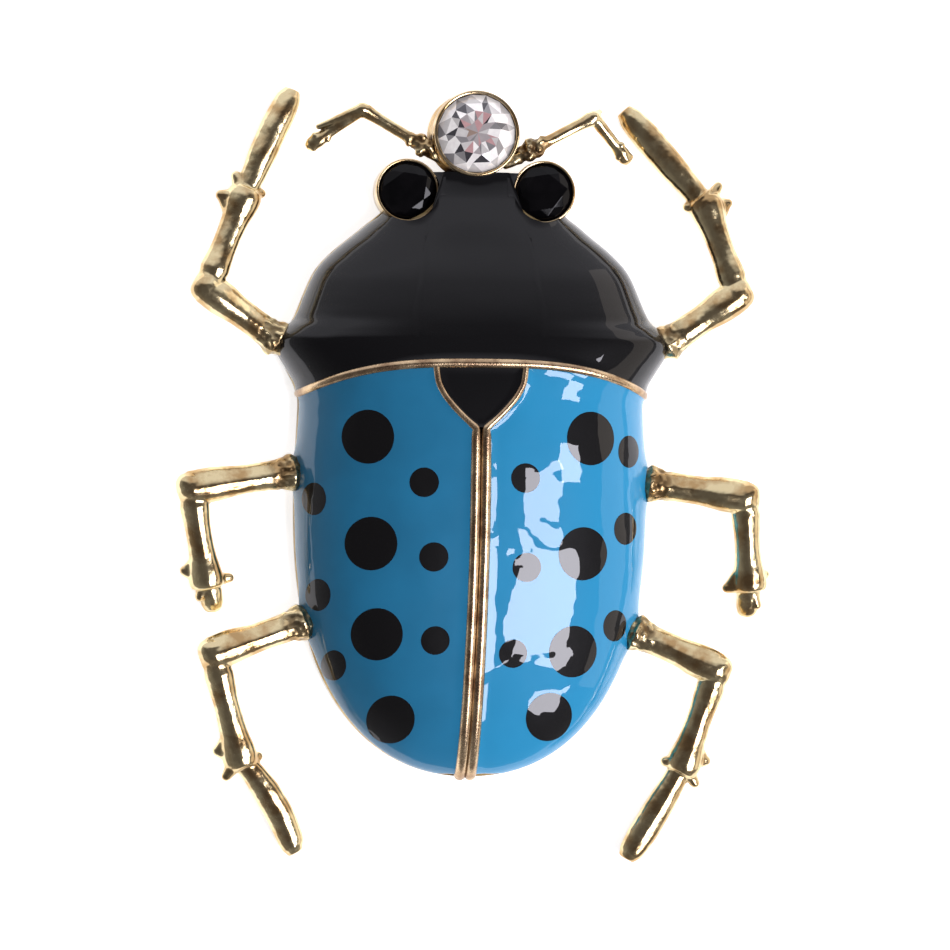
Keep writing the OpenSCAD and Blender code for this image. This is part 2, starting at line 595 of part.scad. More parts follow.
module crystal() {
    brilliant(crystal_d, 0, crystal_y, crystal_z, "#DDE4E8");
}
module eye_stone(side) {
    brilliant(eye_d, side * eye_span / 2, eye_y, eye_z, "#101014");
}

// The pin: bar, hinge block, needle and catch in one plain piece, set inside the hollow
module pin_back() {
    end_x = pin_bar_l / 2;
    block_h = pin_bar_z - needle_z + needle_d;
    block_w = 0.1 * pin_bar_l;
    catch_w = 0.07 * pin_bar_l;
    point_x = end_x - 0.08 * pin_bar_l;
    low_z = needle_z - needle_d / 2;
    back_y = pin_y - pin_bar_w / 2;
    color("Silver") union() {
        translate([-end_x, back_y, pin_bar_z]) cube([pin_bar_l, pin_bar_w, pin_bar_t]);
        translate([-end_x, back_y, low_z]) cube([block_w, pin_bar_w, block_h]);
        translate([block_w / 2 - end_x, pin_y, needle_z + 0.1]) rotate([0, 90, 0])
            cylinder(h = point_x + end_x - block_w / 2, d = needle_d, $fn = 32);
        translate([point_x, pin_y, needle_z + 0.1]) rotate([0, 90, 0])
            cylinder(h = 1.5 * needle_d, d1 = needle_d, d2 = needle_d / 4, $fn = 32);
        difference() {
            translate([end_x - block_w, back_y, low_z]) cube([catch_w, pin_bar_w, block_h]);
            translate([end_x - 1.5 * block_w, pin_y - pin_bar_w, low_z + 0.3])
                cube([2 * block_w, pin_bar_w * 1.5 - needle_d, needle_d + 0.5]);
        }
    }
}

casting();
head_enamel();
scutellum_enamel();
wing(-1);  // wing_case_left
wing(1);  // wing_case_right
spots(-1, SPOTS_LEFT);  // spots_left
spots(1, SPOTS_RIGHT);  // spots_right
crystal();
eye_stone(-1);  // eye_stone_left
eye_stone(1);  // eye_stone_right
pin_back();
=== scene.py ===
# %% [markdown]
# # An enamelled beetle brooch
# The real brooch is one metal casting with glossy enamel poured between raised lines, three cut
# stones pressed into cups, and black spots laid on the blue. The imported model gives every piece its
# place and size. This script dresses those pieces: it rebuilds the soft, rounded forms finely enough
# for glossy reflections and gives each finish its own material.

# %% Load the imported model
import json
import math

import bmesh
import bpy
import numpy as np
from mathutils import Matrix, Vector, noise

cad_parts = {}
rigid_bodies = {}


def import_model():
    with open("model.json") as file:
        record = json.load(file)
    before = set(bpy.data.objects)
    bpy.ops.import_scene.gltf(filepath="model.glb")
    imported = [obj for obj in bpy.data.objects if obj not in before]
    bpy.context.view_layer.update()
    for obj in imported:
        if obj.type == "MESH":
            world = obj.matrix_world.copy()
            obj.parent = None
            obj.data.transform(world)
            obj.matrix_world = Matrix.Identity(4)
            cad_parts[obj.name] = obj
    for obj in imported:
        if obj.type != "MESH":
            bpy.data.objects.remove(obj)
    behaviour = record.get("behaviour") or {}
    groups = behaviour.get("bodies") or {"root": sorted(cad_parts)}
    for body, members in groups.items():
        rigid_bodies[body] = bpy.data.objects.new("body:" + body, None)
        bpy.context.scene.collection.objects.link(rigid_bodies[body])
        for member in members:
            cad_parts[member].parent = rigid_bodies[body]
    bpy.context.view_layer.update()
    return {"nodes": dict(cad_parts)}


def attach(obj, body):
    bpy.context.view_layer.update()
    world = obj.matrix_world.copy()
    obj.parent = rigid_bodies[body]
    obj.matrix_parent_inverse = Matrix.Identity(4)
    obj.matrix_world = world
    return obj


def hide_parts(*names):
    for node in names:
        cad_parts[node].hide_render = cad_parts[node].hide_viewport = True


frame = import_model()
MM = 0.001
print("nodes:", sorted(frame["nodes"]))

# %% [markdown]
# ## Smooth tables
# The outline and the ridge of the body were measured as short tables. Straight lines between the rows
# would show as creases in a mirror-like gloss. A plain spline is smooth, but it swings past the rows
# where the outline turns fast. So the rows are joined by a cubic curve whose slopes are held back. All
# lengths below are in millimetres until a mesh is made.


# %% A curve through a table that never overshoots
def smooth_table(rows, flat_start=False):
    x, v = np.array(rows, float).T
    step = np.diff(x)
    rise = np.diff(v) / step
    lean = np.concatenate([[rise[0]], np.zeros(len(rise) - 1), [rise[-1]]])
    for i in range(1, len(rise)):
        if rise[i - 1] * rise[i] > 0:
            near, far = 2 * step[i] + step[i - 1], step[i] + 2 * step[i - 1]
            lean[i] = (near + far) / (near / rise[i - 1] + far / rise[i])
    if flat_start:
        lean[0] = 0

    def value(place):
        place = np.clip(place, x[0], x[-1])
        i = np.clip(np.searchsorted(x, place) - 1, 0, len(step) - 1)
        t = (place - x[i]) / step[i]
        ends = v[i] * (1 + 2 * t) * (1 - t) ** 2 + v[i + 1] * t * t * (3 - 2 * t)
        return ends + step[i] * (lean[i] * t * (1 - t) ** 2 - lean[i + 1] * t * t * (1 - t))

    return value


print("halfway up a step of 1 that levels off:", smooth_table([(0, 0), (1, 1), (2, 1)])(0.5))

# %% [markdown]
# ## The domed body
# Every enamel field, metal line and spot lies on one domed surface. Its width follows the outline, its
# height follows the ridge, and its cross-section is a flattened arch. It could be sculpted as one mesh,
# with each piece pressed onto it later. Here one function gives any point of it at a chosen depth under
# the skin, so that all pieces fit each other without any nudging.

# %% Sizes of the body
HALF_L = 24.5
HALF_W = 14.4
RIM_H = 1.2
DOME_H = 6.8
WIDEST_Y = -0.08 * HALF_L
HIGHEST_Y = 0.082 * HALF_L
TAIL_BEND, TAIL_ROUND = 2.5, 2.2
DROP_BEND, DROP_ROUND = 1.7, 1.8
OUTLINE = smooth_table([
    (-0.080, 1.000), (0.140, 0.986), (0.237, 0.979), (0.290, 1.000), (0.340, 1.042),
    (0.390, 1.078), (0.437, 1.100), (0.475, 1.064), (0.510, 1.012), (0.540, 0.990),
    (0.590, 0.956), (0.657, 0.906), (0.690, 0.870), (0.722, 0.820), (0.755, 0.758),
    (0.790, 0.682), (0.830, 0.600), (0.872, 0.513), (0.920, 0.470), (1.000, 0.360)], True)
RIDGE = smooth_table([
    (0.082, 1.000), (0.204, 0.990), (0.367, 0.945), (0.490, 0.870), (0.633, 0.750),
    (0.755, 0.620), (0.837, 0.530), (0.918, 0.430), (1.000, 0.360)], True)
SQUARENESS = smooth_table([(0.25, 2.6), (0.35, 2.9), (0.45, 3.2)])
SHIELD = smooth_table([
    (0, 0), (0.09, 0.10), (0.26, 0.38), (0.42, 0.62), (0.58, 0.81), (0.75, 0.93), (1, 0.98), (1.3, 1.0)])


def width_at(y):
    t = np.clip((WIDEST_Y - y) / (WIDEST_Y + HALF_L), 0, 1)
    tail = (1 - t**TAIL_BEND) ** (1 / TAIL_ROUND)
    return HALF_W * np.maximum(np.where(y < WIDEST_Y, tail, OUTLINE(y / HALF_L)), 0.01)


def ridge_at(y):
    t = np.clip((HIGHEST_Y - y) / (HIGHEST_Y + HALF_L), 0, 1)
    tail = (1 - t**DROP_BEND) ** (1 / DROP_ROUND)
    return DOME_H * np.maximum(np.where(y < HIGHEST_Y, tail, RIDGE(y / HALF_L)), 0.01)


def squareness(y):
    return SQUARENESS(y / HALF_L)


def slope(along, y):
    return (along(np.minimum(y + 0.05, HALF_L)) - along(y - 0.05)) / 0.1


print("body:", 2 * HALF_L, "mm long,", 2 * HALF_W, "mm wide,", RIM_H + DOME_H, "mm high")


# %% Any point of the dome, and the way out of it
def dome_out(x, y):
    w, c, a = width_at(y), ridge_at(y), squareness(y)
    u = np.minimum(1, np.abs(x) / w)
    fall = np.sqrt(np.maximum(1e-6, 1 - u**a))
    out = np.stack([
        a * u ** (a - 1) * np.sign(x) / w,
        -a * u**a * slope(width_at, y) / w - 2 * fall**2 * slope(ridge_at, y) / c,
        2 * fall / c], -1)
    return out / np.linalg.norm(out, axis=-1, keepdims=True)


def dome_point(x, y, depth=0.0):
    x, y, depth = np.broadcast_arrays(np.asarray(x, float), np.asarray(y, float), np.asarray(depth, float))
    w = width_at(y)
    x = np.clip(x, -w, w)
    fall = np.sqrt(np.maximum(1e-6, 1 - (np.abs(x) / w) ** squareness(y)))
    return np.stack([x, y, RIM_H + ridge_at(y) * fall], -1) - depth[..., None] * dome_out(x, y)


def across(share, y):
    turn = np.pi / 2 * np.minimum(1, np.abs(share))
    return width_at(y) * np.sign(share) * np.sin(turn) ** (2 / squareness(y))


def across_share(x, y):
    return np.arcsin(np.minimum(1, x / width_at(y)) ** (squareness(y) / 2)) / (np.pi / 2)


print("top of the dome:", dome_point(0, HIGHEST_Y).round(2))

# %% [markdown]
# ## Where the metal lines run
# A fine line crosses the body behind the neck, two bars run down the seam, and they part at the front
# to frame the small shield. Near the tail the real seam leans a little to the left. The lines could be
# drawn as curves and projected on the dome. As functions of the place along the body they serve twice:
# the bars follow them, and the enamel ends at them.

# %% Sizes of the lines
ENAMEL_T = 0.7
BED_GAP = 0.16
GAP = 0.08
BAND_W = 0.56
BAND_Y = 8.95
BAND_DROP = 2.45
SHIELD_W = 7.4
SHIELD_L = 5.8
SHIELD_LINE_W = 0.52
SEAM_BAR_W = 0.74
SEAM_X = 0.42
SEAM_LEAN, LEAN_FROM_Y, LEAN_LENGTH = 0.36, -4, 20
BAND_HALF_W = float(width_at(np.array(BAND_Y - BAND_DROP)))
SHIELD_TIP_Y = BAND_Y - SHIELD_L
BAND_EDGE = BAND_W / 2 + GAP
TUCK = 0.18


def band_at(x):
    return BAND_Y - BAND_DROP * np.minimum(1, np.abs(x) / BAND_HALF_W) ** 3


def band_slant(x):
    return np.hypot(1, 3 * BAND_DROP / BAND_HALF_W * np.minimum(1, np.abs(x) / BAND_HALF_W) ** 2)


def seam_at(y):
    opened = SHIELD_W / 2 * SHIELD(np.clip((y - SHIELD_TIP_Y) / SHIELD_L, 0, 1.3))
    return np.maximum(SEAM_X, opened)


def seam_half(y):
    opened = np.clip((y - SHIELD_TIP_Y) / (0.2 * SHIELD_L), 0, 1)
    return SEAM_BAR_W / 2 + (SHIELD_LINE_W - SEAM_BAR_W) / 2 * opened


def seam_edge(y, way):
    slant = np.hypot(1, (seam_at(y + 0.1) - seam_at(y - 0.1)) / 0.2)
    return seam_at(y) + way * (seam_half(y) + GAP - TUCK) * slant


def seam_lean(y):
    return -SEAM_LEAN * np.clip((LEAN_FROM_Y - y) / LEAN_LENGTH, 0, 1) ** 1.5


print("ends of the line behind the neck:", round(BAND_HALF_W, 2), "mm out")

# %% [markdown]
# ## Two small makers of meshes
# A poured field of enamel is a plate: a grid of points on top and the same grid below. Liquid enamel
# creeps up the metal that holds it, so the plate rises a little towards a line or a cup. At a free edge
# it rolls off round. A Bevel would round all edges alike, so both are worked out here from how far a
# point of the grid is from each of its four edges.


# %% Make an object from points in millimetres
def as_object(name, points, faces):
    mesh = bpy.data.meshes.new(name)
    mesh.from_pydata([tuple(p) for p in np.asarray(points) * MM], [], faces)
    mesh.update()
    made = bpy.data.objects.new(name, mesh)
    bpy.context.scene.collection.objects.link(made)
    return made


# Edges sharper than the crease angle stay sharp; with no crease all faces are flat
def tidy(piece, crease=None, merge=1e-7):
    work = bmesh.new()
    work.from_mesh(piece.data)
    bmesh.ops.remove_doubles(work, verts=work.verts, dist=merge)
    bmesh.ops.dissolve_degenerate(work, edges=work.edges, dist=merge)
    bmesh.ops.recalc_face_normals(work, faces=work.faces)
    for face in work.faces:
        face.smooth = crease is not None
    for edge in work.edges:
        sharp = len(edge.link_faces) == 2 and edge.calc_face_angle(0) > math.radians(crease or 180)
        edge.smooth = not sharp
    work.to_mesh(piece.data)
    work.free()
    return piece


# %% A poured plate that creeps up the metal and rolls off at its free edges
def edge_depth(top, free, roll=0.4, drop=0.12, creep=0.9, rise=0.1):
    along = np.pad(np.cumsum(np.linalg.norm(np.diff(top, axis=0), axis=2), 0), ((1, 0), (0, 0)))
    over = np.pad(np.cumsum(np.linalg.norm(np.diff(top, axis=1), axis=2), 1), ((0, 0), (1, 0)))
    far = {
        "first_row": along, "last_row": along[-1:] - along,
        "first_column": over, "last_column": over[:, -1:] - over}
    depth = np.zeros(along.shape)
    bare = [far[edge] for edge in far if edge in free]
    held = [far[edge] for edge in far if edge not in free]
    if bare:
        near = np.clip(np.minimum.reduce(bare) / roll, 0, 1)
        depth += drop * (1 - np.sqrt(1 - (1 - near) ** 2))
    if held:
        depth -= rise * (1 - np.clip(np.minimum.reduce(held) / creep, 0, 1)) ** 2
    return depth


def poured(name, place, shares, rows, free, **edges):
    s, t = np.meshgrid(shares, rows)
    flat = place(s, t, 0 * s)
    top = place(s, t, edge_depth(flat, free, **edges))
    low = place(s, t, 0 * s + ENAMEL_T)
    r, c = s.shape
    n = r * c
    at = np.arange(n).reshape(r, c)
    quads = [(at[i, j], at[i, j + 1], at[i + 1, j + 1], at[i + 1, j])
             for i in range(r - 1) for j in range(c - 1)]
    faces = quads + [tuple(k + n for k in reversed(q)) for q in quads]
    ring = list(at[0]) + list(at[1:, -1]) + list(at[-1, -2::-1]) + list(at[-2:0:-1, 0])
    faces += [(b, a, a + n, b + n) for a, b in zip(ring, ring[1:] + ring[:1])]
    faces = [tuple(int(k) for k in f) for f in faces]
    return tidy(as_object(name, np.concatenate([top.reshape(-1, 3), low.reshape(-1, 3)]), faces), 50)


# %% [markdown]
# ## The legs' table
# The legs shape the enamel too: it flows a little over the root of each one. The roots could be joined
# to the enamel by a Boolean, but that leaves a hard seam, so the plate itself swells there. A row gives
# the side, the place of the root, then length and direction of thigh, shin and foot, the foot's bow and
# three spurs. Directions are in degrees from the right.

# %% Legs, and the swelling over their roots
SWELL_H, SWELL_REACH, SWELL_FROM = 0.42, 1.7, 0.72
LEGS = {
    "leg_front_left": (-1, 0.43, 0.90, 145, 0.99, 68, 1.18, 66, -0.01, 173, 109, 16),
    "leg_front_right": (1, 0.43, 0.89, 35, 0.97, 109, 1.24, 131, -0.02, 7, 56, 186),
    "leg_middle_left": (-1, 0.01, 1.07, 189, 0.94, 280, 0.32, 285, 0, 158, 5, 250),
    "leg_middle_right": (1, -0.02, 1.00, 352, 0.88, 275, 0.33, 268, 0, 193, 290, 29),
    "leg_hind_left": (-1, -0.48, 0.98, 199, 1.09, 285, 1.10, 301, 0.03, 165, 235, 2),
    "leg_hind_right": (1, -0.51, 0.92, 336, 1.02, 252, 1.10, 240, -0.01, 6, 301, 174)}


def flow_over_roots(side, y, share):
    swell = np.zeros(np.broadcast(y, share).shape)
    for row in LEGS.values():
        off = (y - row[1] * HALF_L) / SWELL_REACH
        swell = np.maximum(swell, np.where(side * row[0] > 0, np.exp(-off * off), 0))
    near = np.clip((np.abs(share) - SWELL_FROM) / (1 - SWELL_FROM), 0, 1)
    return SWELL_H * swell * near**2 * (3 - 2 * near)


print(len(LEGS), "legs, swelling over the first root:",
      flow_over_roots(-1, 0.43 * HALF_L, 1.0).round(2), "mm")

# %% [markdown]
# ## Wing cases
# Each wing case is one pool of blue enamel from the line behind the neck to the tail. It could be cut
# out of a full dome, but then its edges would be ragged steps. Here the grid's own columns run along
# the seam and the rim. Its rows bend with the line at the front and straighten towards the tail, and
# they lie closer where the enamel creeps or rolls off.

# %% Shape of a wing case
WING_FRONT_Y = BAND_Y - BAND_DROP - (BAND_EDGE - TUCK) * float(band_slant(BAND_HALF_W))
WING_TAIL_Y = 0.05 - HALF_L
WING_STOP = 0.995
SIDES = ((-1, "left"), (1, "right"))


def eased(count):
    return (1 - np.cos(np.pi * np.linspace(0, 1, count))) / 2


def wing_place(side):
    def place(s, y, depth):
        bend = (1 - (y - WING_FRONT_Y) / (WING_TAIL_Y - WING_FRONT_Y)) ** 2
        drop = band_at(BAND_HALF_W)
        inner_y = y + bend * (band_at(seam_at(y)) - drop)
        start = across_share(np.minimum(seam_edge(inner_y, 1) + side * seam_lean(y), width_at(y) - 0.3), y)
        x = across(start + s * (1 - start), y)
        final_y = y + bend * (band_at(x) - drop)
        return dome_point(side * x, final_y, depth - flow_over_roots(side, final_y, s))

    return place


wing_rows = WING_FRONT_Y + eased(132) * WING_STOP * (WING_TAIL_Y - WING_FRONT_Y)
bare_edges = ("last_column", "last_row")
wings = {}
for side, name in SIDES:
    wings[side] = poured(f"wing_case_{name}_enamel", wing_place(side), eased(72), wing_rows, bare_edges)
print("wing case:", len(wings[1].data.polygons), "faces")

# %% [markdown]
# ## Head and neck shield
# The black field fills everything in front of the line. At the front it flows round the three stone
# cups. The cups could be cut from it by a Boolean, but the enamel has to creep up their walls. So each
# column of the grid is followed forward until it meets a cup, and that is its edge.

# %% Sizes of the stones and their cups
CRYSTAL_D, CRYSTAL_Z = 6.35, 3.6
EYE_D, EYE_X, EYE_Y, EYE_Z = 4.65, 5.55, 22.95, 3.1
CUP_WALL, STONE_GAP = 0.38, 0.06
CRYSTAL_CUP_R = CRYSTAL_D / 2 + STONE_GAP + CUP_WALL
EYE_CUP_R = EYE_D / 2 + STONE_GAP + CUP_WALL
CRYSTAL_Y = HALF_L + CRYSTAL_CUP_R - 0.515
HEAD_EDGE_Y = 0.872 * HALF_L
HEAD_BACK_Y = BAND_Y - BAND_DROP + (BAND_EDGE - TUCK) * float(band_slant(BAND_HALF_W))
HEAD_FRONT_Y = 0.998 * HALF_L
UNDER_EYE_CUP, UNDER_FRONT_CUP = 0.24, 0.16
UPRIGHT_FROM_Y = 20.3
print("cups, half width in mm:", round(CRYSTAL_CUP_R, 2), round(EYE_CUP_R, 2))


# %% Shape of the head
def cup_front(x):
    eye_r, top_r = EYE_CUP_R - UNDER_EYE_CUP, CRYSTAL_CUP_R - UNDER_FRONT_CUP
    reach = np.abs(x) - EYE_X
    between = CRYSTAL_Y - np.sqrt(np.maximum(0, top_r**2 - x * x))
    beside = EYE_Y - np.sqrt(np.maximum(0, eye_r**2 - reach**2))
    return np.where(np.abs(x) < EYE_X - eye_r, between, beside)


# Columns near the middle stop following the narrowing neck, so that they meet the cups squarely
def upright(s, y):
    return width_at(y) + (width_at(np.minimum(y, UPRIGHT_FROM_Y)) - width_at(y)) * (1 - s**4)


def head_flat(s, t):
    side_y = HEAD_BACK_Y + t * (HEAD_EDGE_Y - HEAD_BACK_Y)
    x = s * upright(s, side_y)
    back = band_at(x) + (BAND_EDGE - TUCK) * band_slant(x)
    front = np.minimum(cup_front(s * upright(s, np.array(HEAD_EDGE_Y))), HEAD_FRONT_Y)
    return x, back + t * (front - back)


def head_place(s, t, depth):
    tries = np.linspace(0, 1, 240)[:, None]
    x, y = head_flat(s[:1], tries)
    over = y > cup_front(x)
    stop = np.where(over.any(0), tries[:, 0][np.argmax(over, 0)], 1)
    x, y = head_flat(s, t * stop)
    y = np.minimum(y, cup_front(x))
    return dome_point(x, y, depth - flow_over_roots(np.sign(s), y, s))


head_shares = np.sin(np.pi / 2 * np.linspace(-1, 1, 121))
head_rows = np.linspace(0, 1, 110)
head = poured("head_black_enamel", head_place, head_shares, head_rows, ("first_column", "last_column"))
print("head:", len(head.data.polygons), "faces")

# %% [markdown]
# ### Corners of the neck
# Between the clear stone's cup and each eye's cup the enamel runs into a narrow corner. The head's
# columns would bunch up there, so a small plate of its own fills each corner, a hair above the head.

# %% Corners of the neck
CORNER_X, CORNER_Y = 2.5, 22.5
CORNER_LIFT = 0.012


def neck_corner(side):
    def place(s, t, depth):
        y = CORNER_Y + t * (HEAD_FRONT_Y - CORNER_Y)
        eye_edge = EYE_X - np.sqrt(np.maximum(0.04, (EYE_CUP_R - 0.2) ** 2 - (y - EYE_Y) ** 2))
        x = CORNER_X + s * (np.minimum(eye_edge, width_at(y)) - CORNER_X)
        return dome_point(side * x, y, depth - CORNER_LIFT)

    return place


corners = []
for side, name in SIDES:
    shares, rows = np.linspace(0, 1, 20), np.linspace(0, 1, 24)
    corners.append(poured(f"neck_corner_{name}", neck_corner(side), shares, rows, (), rise=0.02))
print("corners:", [len(piece.data.polygons) for piece in corners], "faces")

# %% [markdown]
# ### The small shield
# A leaf of black enamel lies behind the line, where the two seam bars part. It could be an outline
# filled with one flat face, but the dome bends under it, so it is a grid like the others. Its columns
# spread with the bars.

# %% Shape of the small shield
SHIELD_LOW = SHIELD_TIP_Y + 0.12 * SHIELD_L
SHIELD_HIGH = BAND_Y - BAND_EDGE + TUCK


def shield_place(s, t, depth):
    low_y = SHIELD_LOW + t * (SHIELD_HIGH - SHIELD_LOW)
    x = s * np.maximum(0.05, seam_edge(low_y, -1))
    return dome_point(x, low_y + t * (band_at(x) - BAND_Y), depth)


shield_shares = np.linspace(-1, 1, 41)
shield = poured("shield_black_enamel", shield_place, shield_shares, eased(48), (), creep=0.8, rise=0.12)
print("shield:", len(shield.data.polygons), "faces")

# %% [markdown]
# ## Spots
# Ten black spots lie on each wing case. They could be modelled one by one and shrink-wrapped. They
# repeat and follow a surface, though, which is what Geometry Nodes do well: a flat disc is set on each
# point, then made real, so that every corner of it can be dropped on the enamel below and lifted by a
# hair. The discs are pressed narrower where the dome is steep, so that they stay round.

# %% One helper that adds a node with its values, links and settings
def add_node(tree, kind, values=None, links=None, **settings):
    node = tree.nodes.new(kind)
    for key, value in settings.items():
        setattr(node, key, value)
    for socket, value in (values or {}).items():
        node.inputs[socket].default_value = value
    for socket, source in (links or {}).items():
        tree.links.new(source, node.inputs[socket])
    return node


def geometry_tree(name, inputs):
    tree = bpy.data.node_groups.new(name, "GeometryNodeTree")
    tree.interface.new_socket("Geometry", in_out="INPUT", socket_type="NodeSocketGeometry")
    for label, kind, value in inputs:
        socket = tree.interface.new_socket(label, in_out="INPUT", socket_type=kind)
        if value is not None:
            socket.default_value = value
    tree.interface.new_socket("Geometry", in_out="OUTPUT", socket_type="NodeSocketGeometry")
    return tree, tree.nodes.new("NodeGroupInput"), tree.nodes.new("NodeGroupOutput")


def baked(piece):
    made = bpy.data.meshes.new_from_object(piece.evaluated_get(bpy.context.evaluated_depsgraph_get()))
    piece.modifiers.clear()
    piece.data = made
    made.name = piece.name
    return piece


def run_tree(piece, tree, settings):
    modifier = piece.modifiers.new(tree.name, "NODES")
    modifier.node_group = tree
    for item in tree.interface.items_tree:
        if item.name in settings and item.in_out == "INPUT":
            modifier[item.identifier] = settings[item.name]
    piece.update_tag()
    return baked(piece)


# %% The tree that lays discs on a surface
spot_tree, given, result = geometry_tree("lay spots", [
    ("Surface", "NodeSocketObject", None), ("Lift", "NodeSocketFloat", 0.02 * MM),
    ("Thickness", "NodeSocketFloat", 0.04 * MM), ("Sides", "NodeSocketInt", 56),
    ("Material", "NodeSocketMaterial", None)])
disc = add_node(spot_tree, "GeometryNodeMeshCone",
                {"Side Segments": 9, "Radius Top": 0.0, "Radius Bottom": 1.0, "Depth": 0.0},
                {"Vertices": given.outputs["Sides"]}, fill_type="NONE")
pressed = add_node(
    spot_tree, "GeometryNodeInputNamedAttribute", {"Name": "spot_size"}, data_type="FLOAT_VECTOR")
copies = add_node(spot_tree, "GeometryNodeInstanceOnPoints", None, {
    "Points": given.outputs["Geometry"], "Instance": disc.outputs["Mesh"],
    "Scale": pressed.outputs["Attribute"]})
real_discs = add_node(spot_tree, "GeometryNodeRealizeInstances", None, {"Geometry": copies.outputs[0]})
surface = add_node(spot_tree, "GeometryNodeObjectInfo", None, {"Object": given.outputs["Surface"]})
place = add_node(spot_tree, "GeometryNodeInputPosition")
above = add_node(
    spot_tree, "ShaderNodeVectorMath", {1: (0, 0, 20 * MM)}, {0: place.outputs[0]}, operation="ADD")
drop_down = add_node(spot_tree, "GeometryNodeRaycast", {"Ray Direction": (0, 0, -1), "Ray Length": 1.0}, {
    "Target Geometry": surface.outputs["Geometry"], "Source Position": above.outputs[0]})
lifted = add_node(spot_tree, "ShaderNodeVectorMath", None, {
    0: drop_down.outputs["Hit Normal"], 3: given.outputs["Lift"]}, operation="SCALE")
landed = add_node(spot_tree, "ShaderNodeVectorMath", None, {
    0: drop_down.outputs["Hit Position"], 1: lifted.outputs[0]}, operation="ADD")
laid = add_node(spot_tree, "GeometryNodeSetPosition", None, {
    "Geometry": real_discs.outputs[0], "Position": landed.outputs[0]})
sunk = add_node(
    spot_tree, "ShaderNodeMath", {1: -1.0}, {0: given.outputs["Thickness"]}, operation="MULTIPLY")
walls = add_node(spot_tree, "GeometryNodeExtrudeMesh", {"Individual": False}, {
    "Mesh": laid.outputs[0], "Offset Scale": sunk.outputs[0]}, mode="FACES")
both = add_node(spot_tree, "GeometryNodeJoinGeometry")
for part in (walls.outputs["Mesh"], laid.outputs[0]):
    spot_tree.links.new(part, both.inputs[0])
closed = add_node(spot_tree, "GeometryNodeMergeByDistance", {"Distance": 1e-8}, {"Geometry": both.outputs[0]})
painted = add_node(spot_tree, "GeometryNodeSetMaterial", None, {
    "Geometry": closed.outputs[0], "Material": given.outputs["Material"]})
spot_tree.links.new(painted.outputs[0], result.inputs[0])
print("spot tree:", len(spot_tree.nodes), "nodes")

# %% Lay the spots: each place is a share of the body's half length, then of its half width there
SPOT_D = {"large": 4.3, "side": 2.6, "small": 2.35}
SPOTS = {
    -1: {"large": [(0.123, 0.630), (-0.225, 0.602), (-0.522, 0.603), (-0.805, 0.668)],
         "side": [(-0.081, 0.905), (-0.396, 0.905), (-0.628, 0.905)],
         "small": [(-0.024, 0.315), (-0.267, 0.257), (-0.541, 0.257)]},
    1: {"large": [(0.123, 0.633), (-0.255, 0.593), (-0.578, 0.612), (-0.796, 0.605)],
        "side": [(0.081, 0.868), (-0.173, 0.845), (-0.494, 0.850)],
        "small": [(-0.008, 0.251), (-0.300, 0.270), (-0.584, 0.228)]}}


def lay_spots(side, name, material):
    rows = [(y, x, SPOT_D[size] / 2) for size, places in SPOTS[side].items() for y, x in places]
    y_share, x_share, radius = np.array(rows).T
    y = y_share * HALF_L
    x = side * x_share * width_at(y)
    out = dome_out(x, y)
    size = np.stack([radius * out[:, 2], radius * np.hypot(out[:, 0], out[:, 2]), radius], -1) * MM
    piece = as_object(name, np.stack([x, y, 0 * x], -1), [])
    stored = piece.data.attributes.new("spot_size", "FLOAT_VECTOR", "POINT")
    stored.data.foreach_set("vector", size.ravel())
    run_tree(piece, spot_tree, {"Surface": wings[side], "Material": material})
    return tidy(piece, 40, 1e-8)


print("spots a side:", [sum(map(len, sizes.values())) for sizes in SPOTS.values()])

# %% [markdown]
# ## Raised lines
# The line behind the neck, the two seam bars and the shield's border are round bars bedded in the
# enamel. A curve with a bevel could draw them, but its width would have to be set point by point. Each
# follows a path on the dome, so a second tree sweeps a circle along it and takes the width from the
# path. The path lies a quarter of the bar's half width under the skin, which leaves a low rounded ridge.

# %% The tree that sweeps a bar along a path
bar_tree, given, result = geometry_tree("sweep bar", [
    ("Sides", "NodeSocketInt", 20), ("Material", "NodeSocketMaterial", None)])
path = add_node(bar_tree, "GeometryNodeMeshToCurve", None, {"Mesh": given.outputs["Geometry"]})
half = add_node(bar_tree, "GeometryNodeInputNamedAttribute", {"Name": "half_width"}, data_type="FLOAT")
sized = add_node(bar_tree, "GeometryNodeSetCurveRadius", None, {
    "Curve": path.outputs[0], "Radius": half.outputs[0]})
ring = add_node(bar_tree, "GeometryNodeCurvePrimitiveCircle", {"Radius": 1.0}, {
    "Resolution": given.outputs["Sides"]})
swept = add_node(bar_tree, "GeometryNodeCurveToMesh", {"Fill Caps": True}, {
    "Curve": sized.outputs[0], "Profile Curve": ring.outputs["Curve"], "Scale": half.outputs[0]})
real_bar = add_node(bar_tree, "GeometryNodeRealizeInstances", None, {"Geometry": swept.outputs[0]})
painted = add_node(bar_tree, "GeometryNodeSetMaterial", None, {
    "Geometry": real_bar.outputs[0], "Material": given.outputs["Material"]})
bar_tree.links.new(painted.outputs[0], result.inputs[0])
print("bar tree:", len(bar_tree.nodes), "nodes")

# %% Sweep one bar
BEDDED = 0.25


def sweep_bar(name, x, y, half_width, material):
    points = dome_point(x, y, BEDDED * half_width)
    mesh = bpy.data.meshes.new(name)
    mesh.from_pydata([tuple(p) for p in points * MM], [(i, i + 1) for i in range(len(points) - 1)], [])
    stored = mesh.attributes.new("half_width", "FLOAT", "POINT")
    stored.data.foreach_set("value", np.broadcast_to(half_width, len(points)) * MM)
    piece = bpy.data.objects.new(name, mesh)
    bpy.context.scene.collection.objects.link(piece)
    return tidy(run_tree(piece, bar_tree, {"Material": material}), 50)


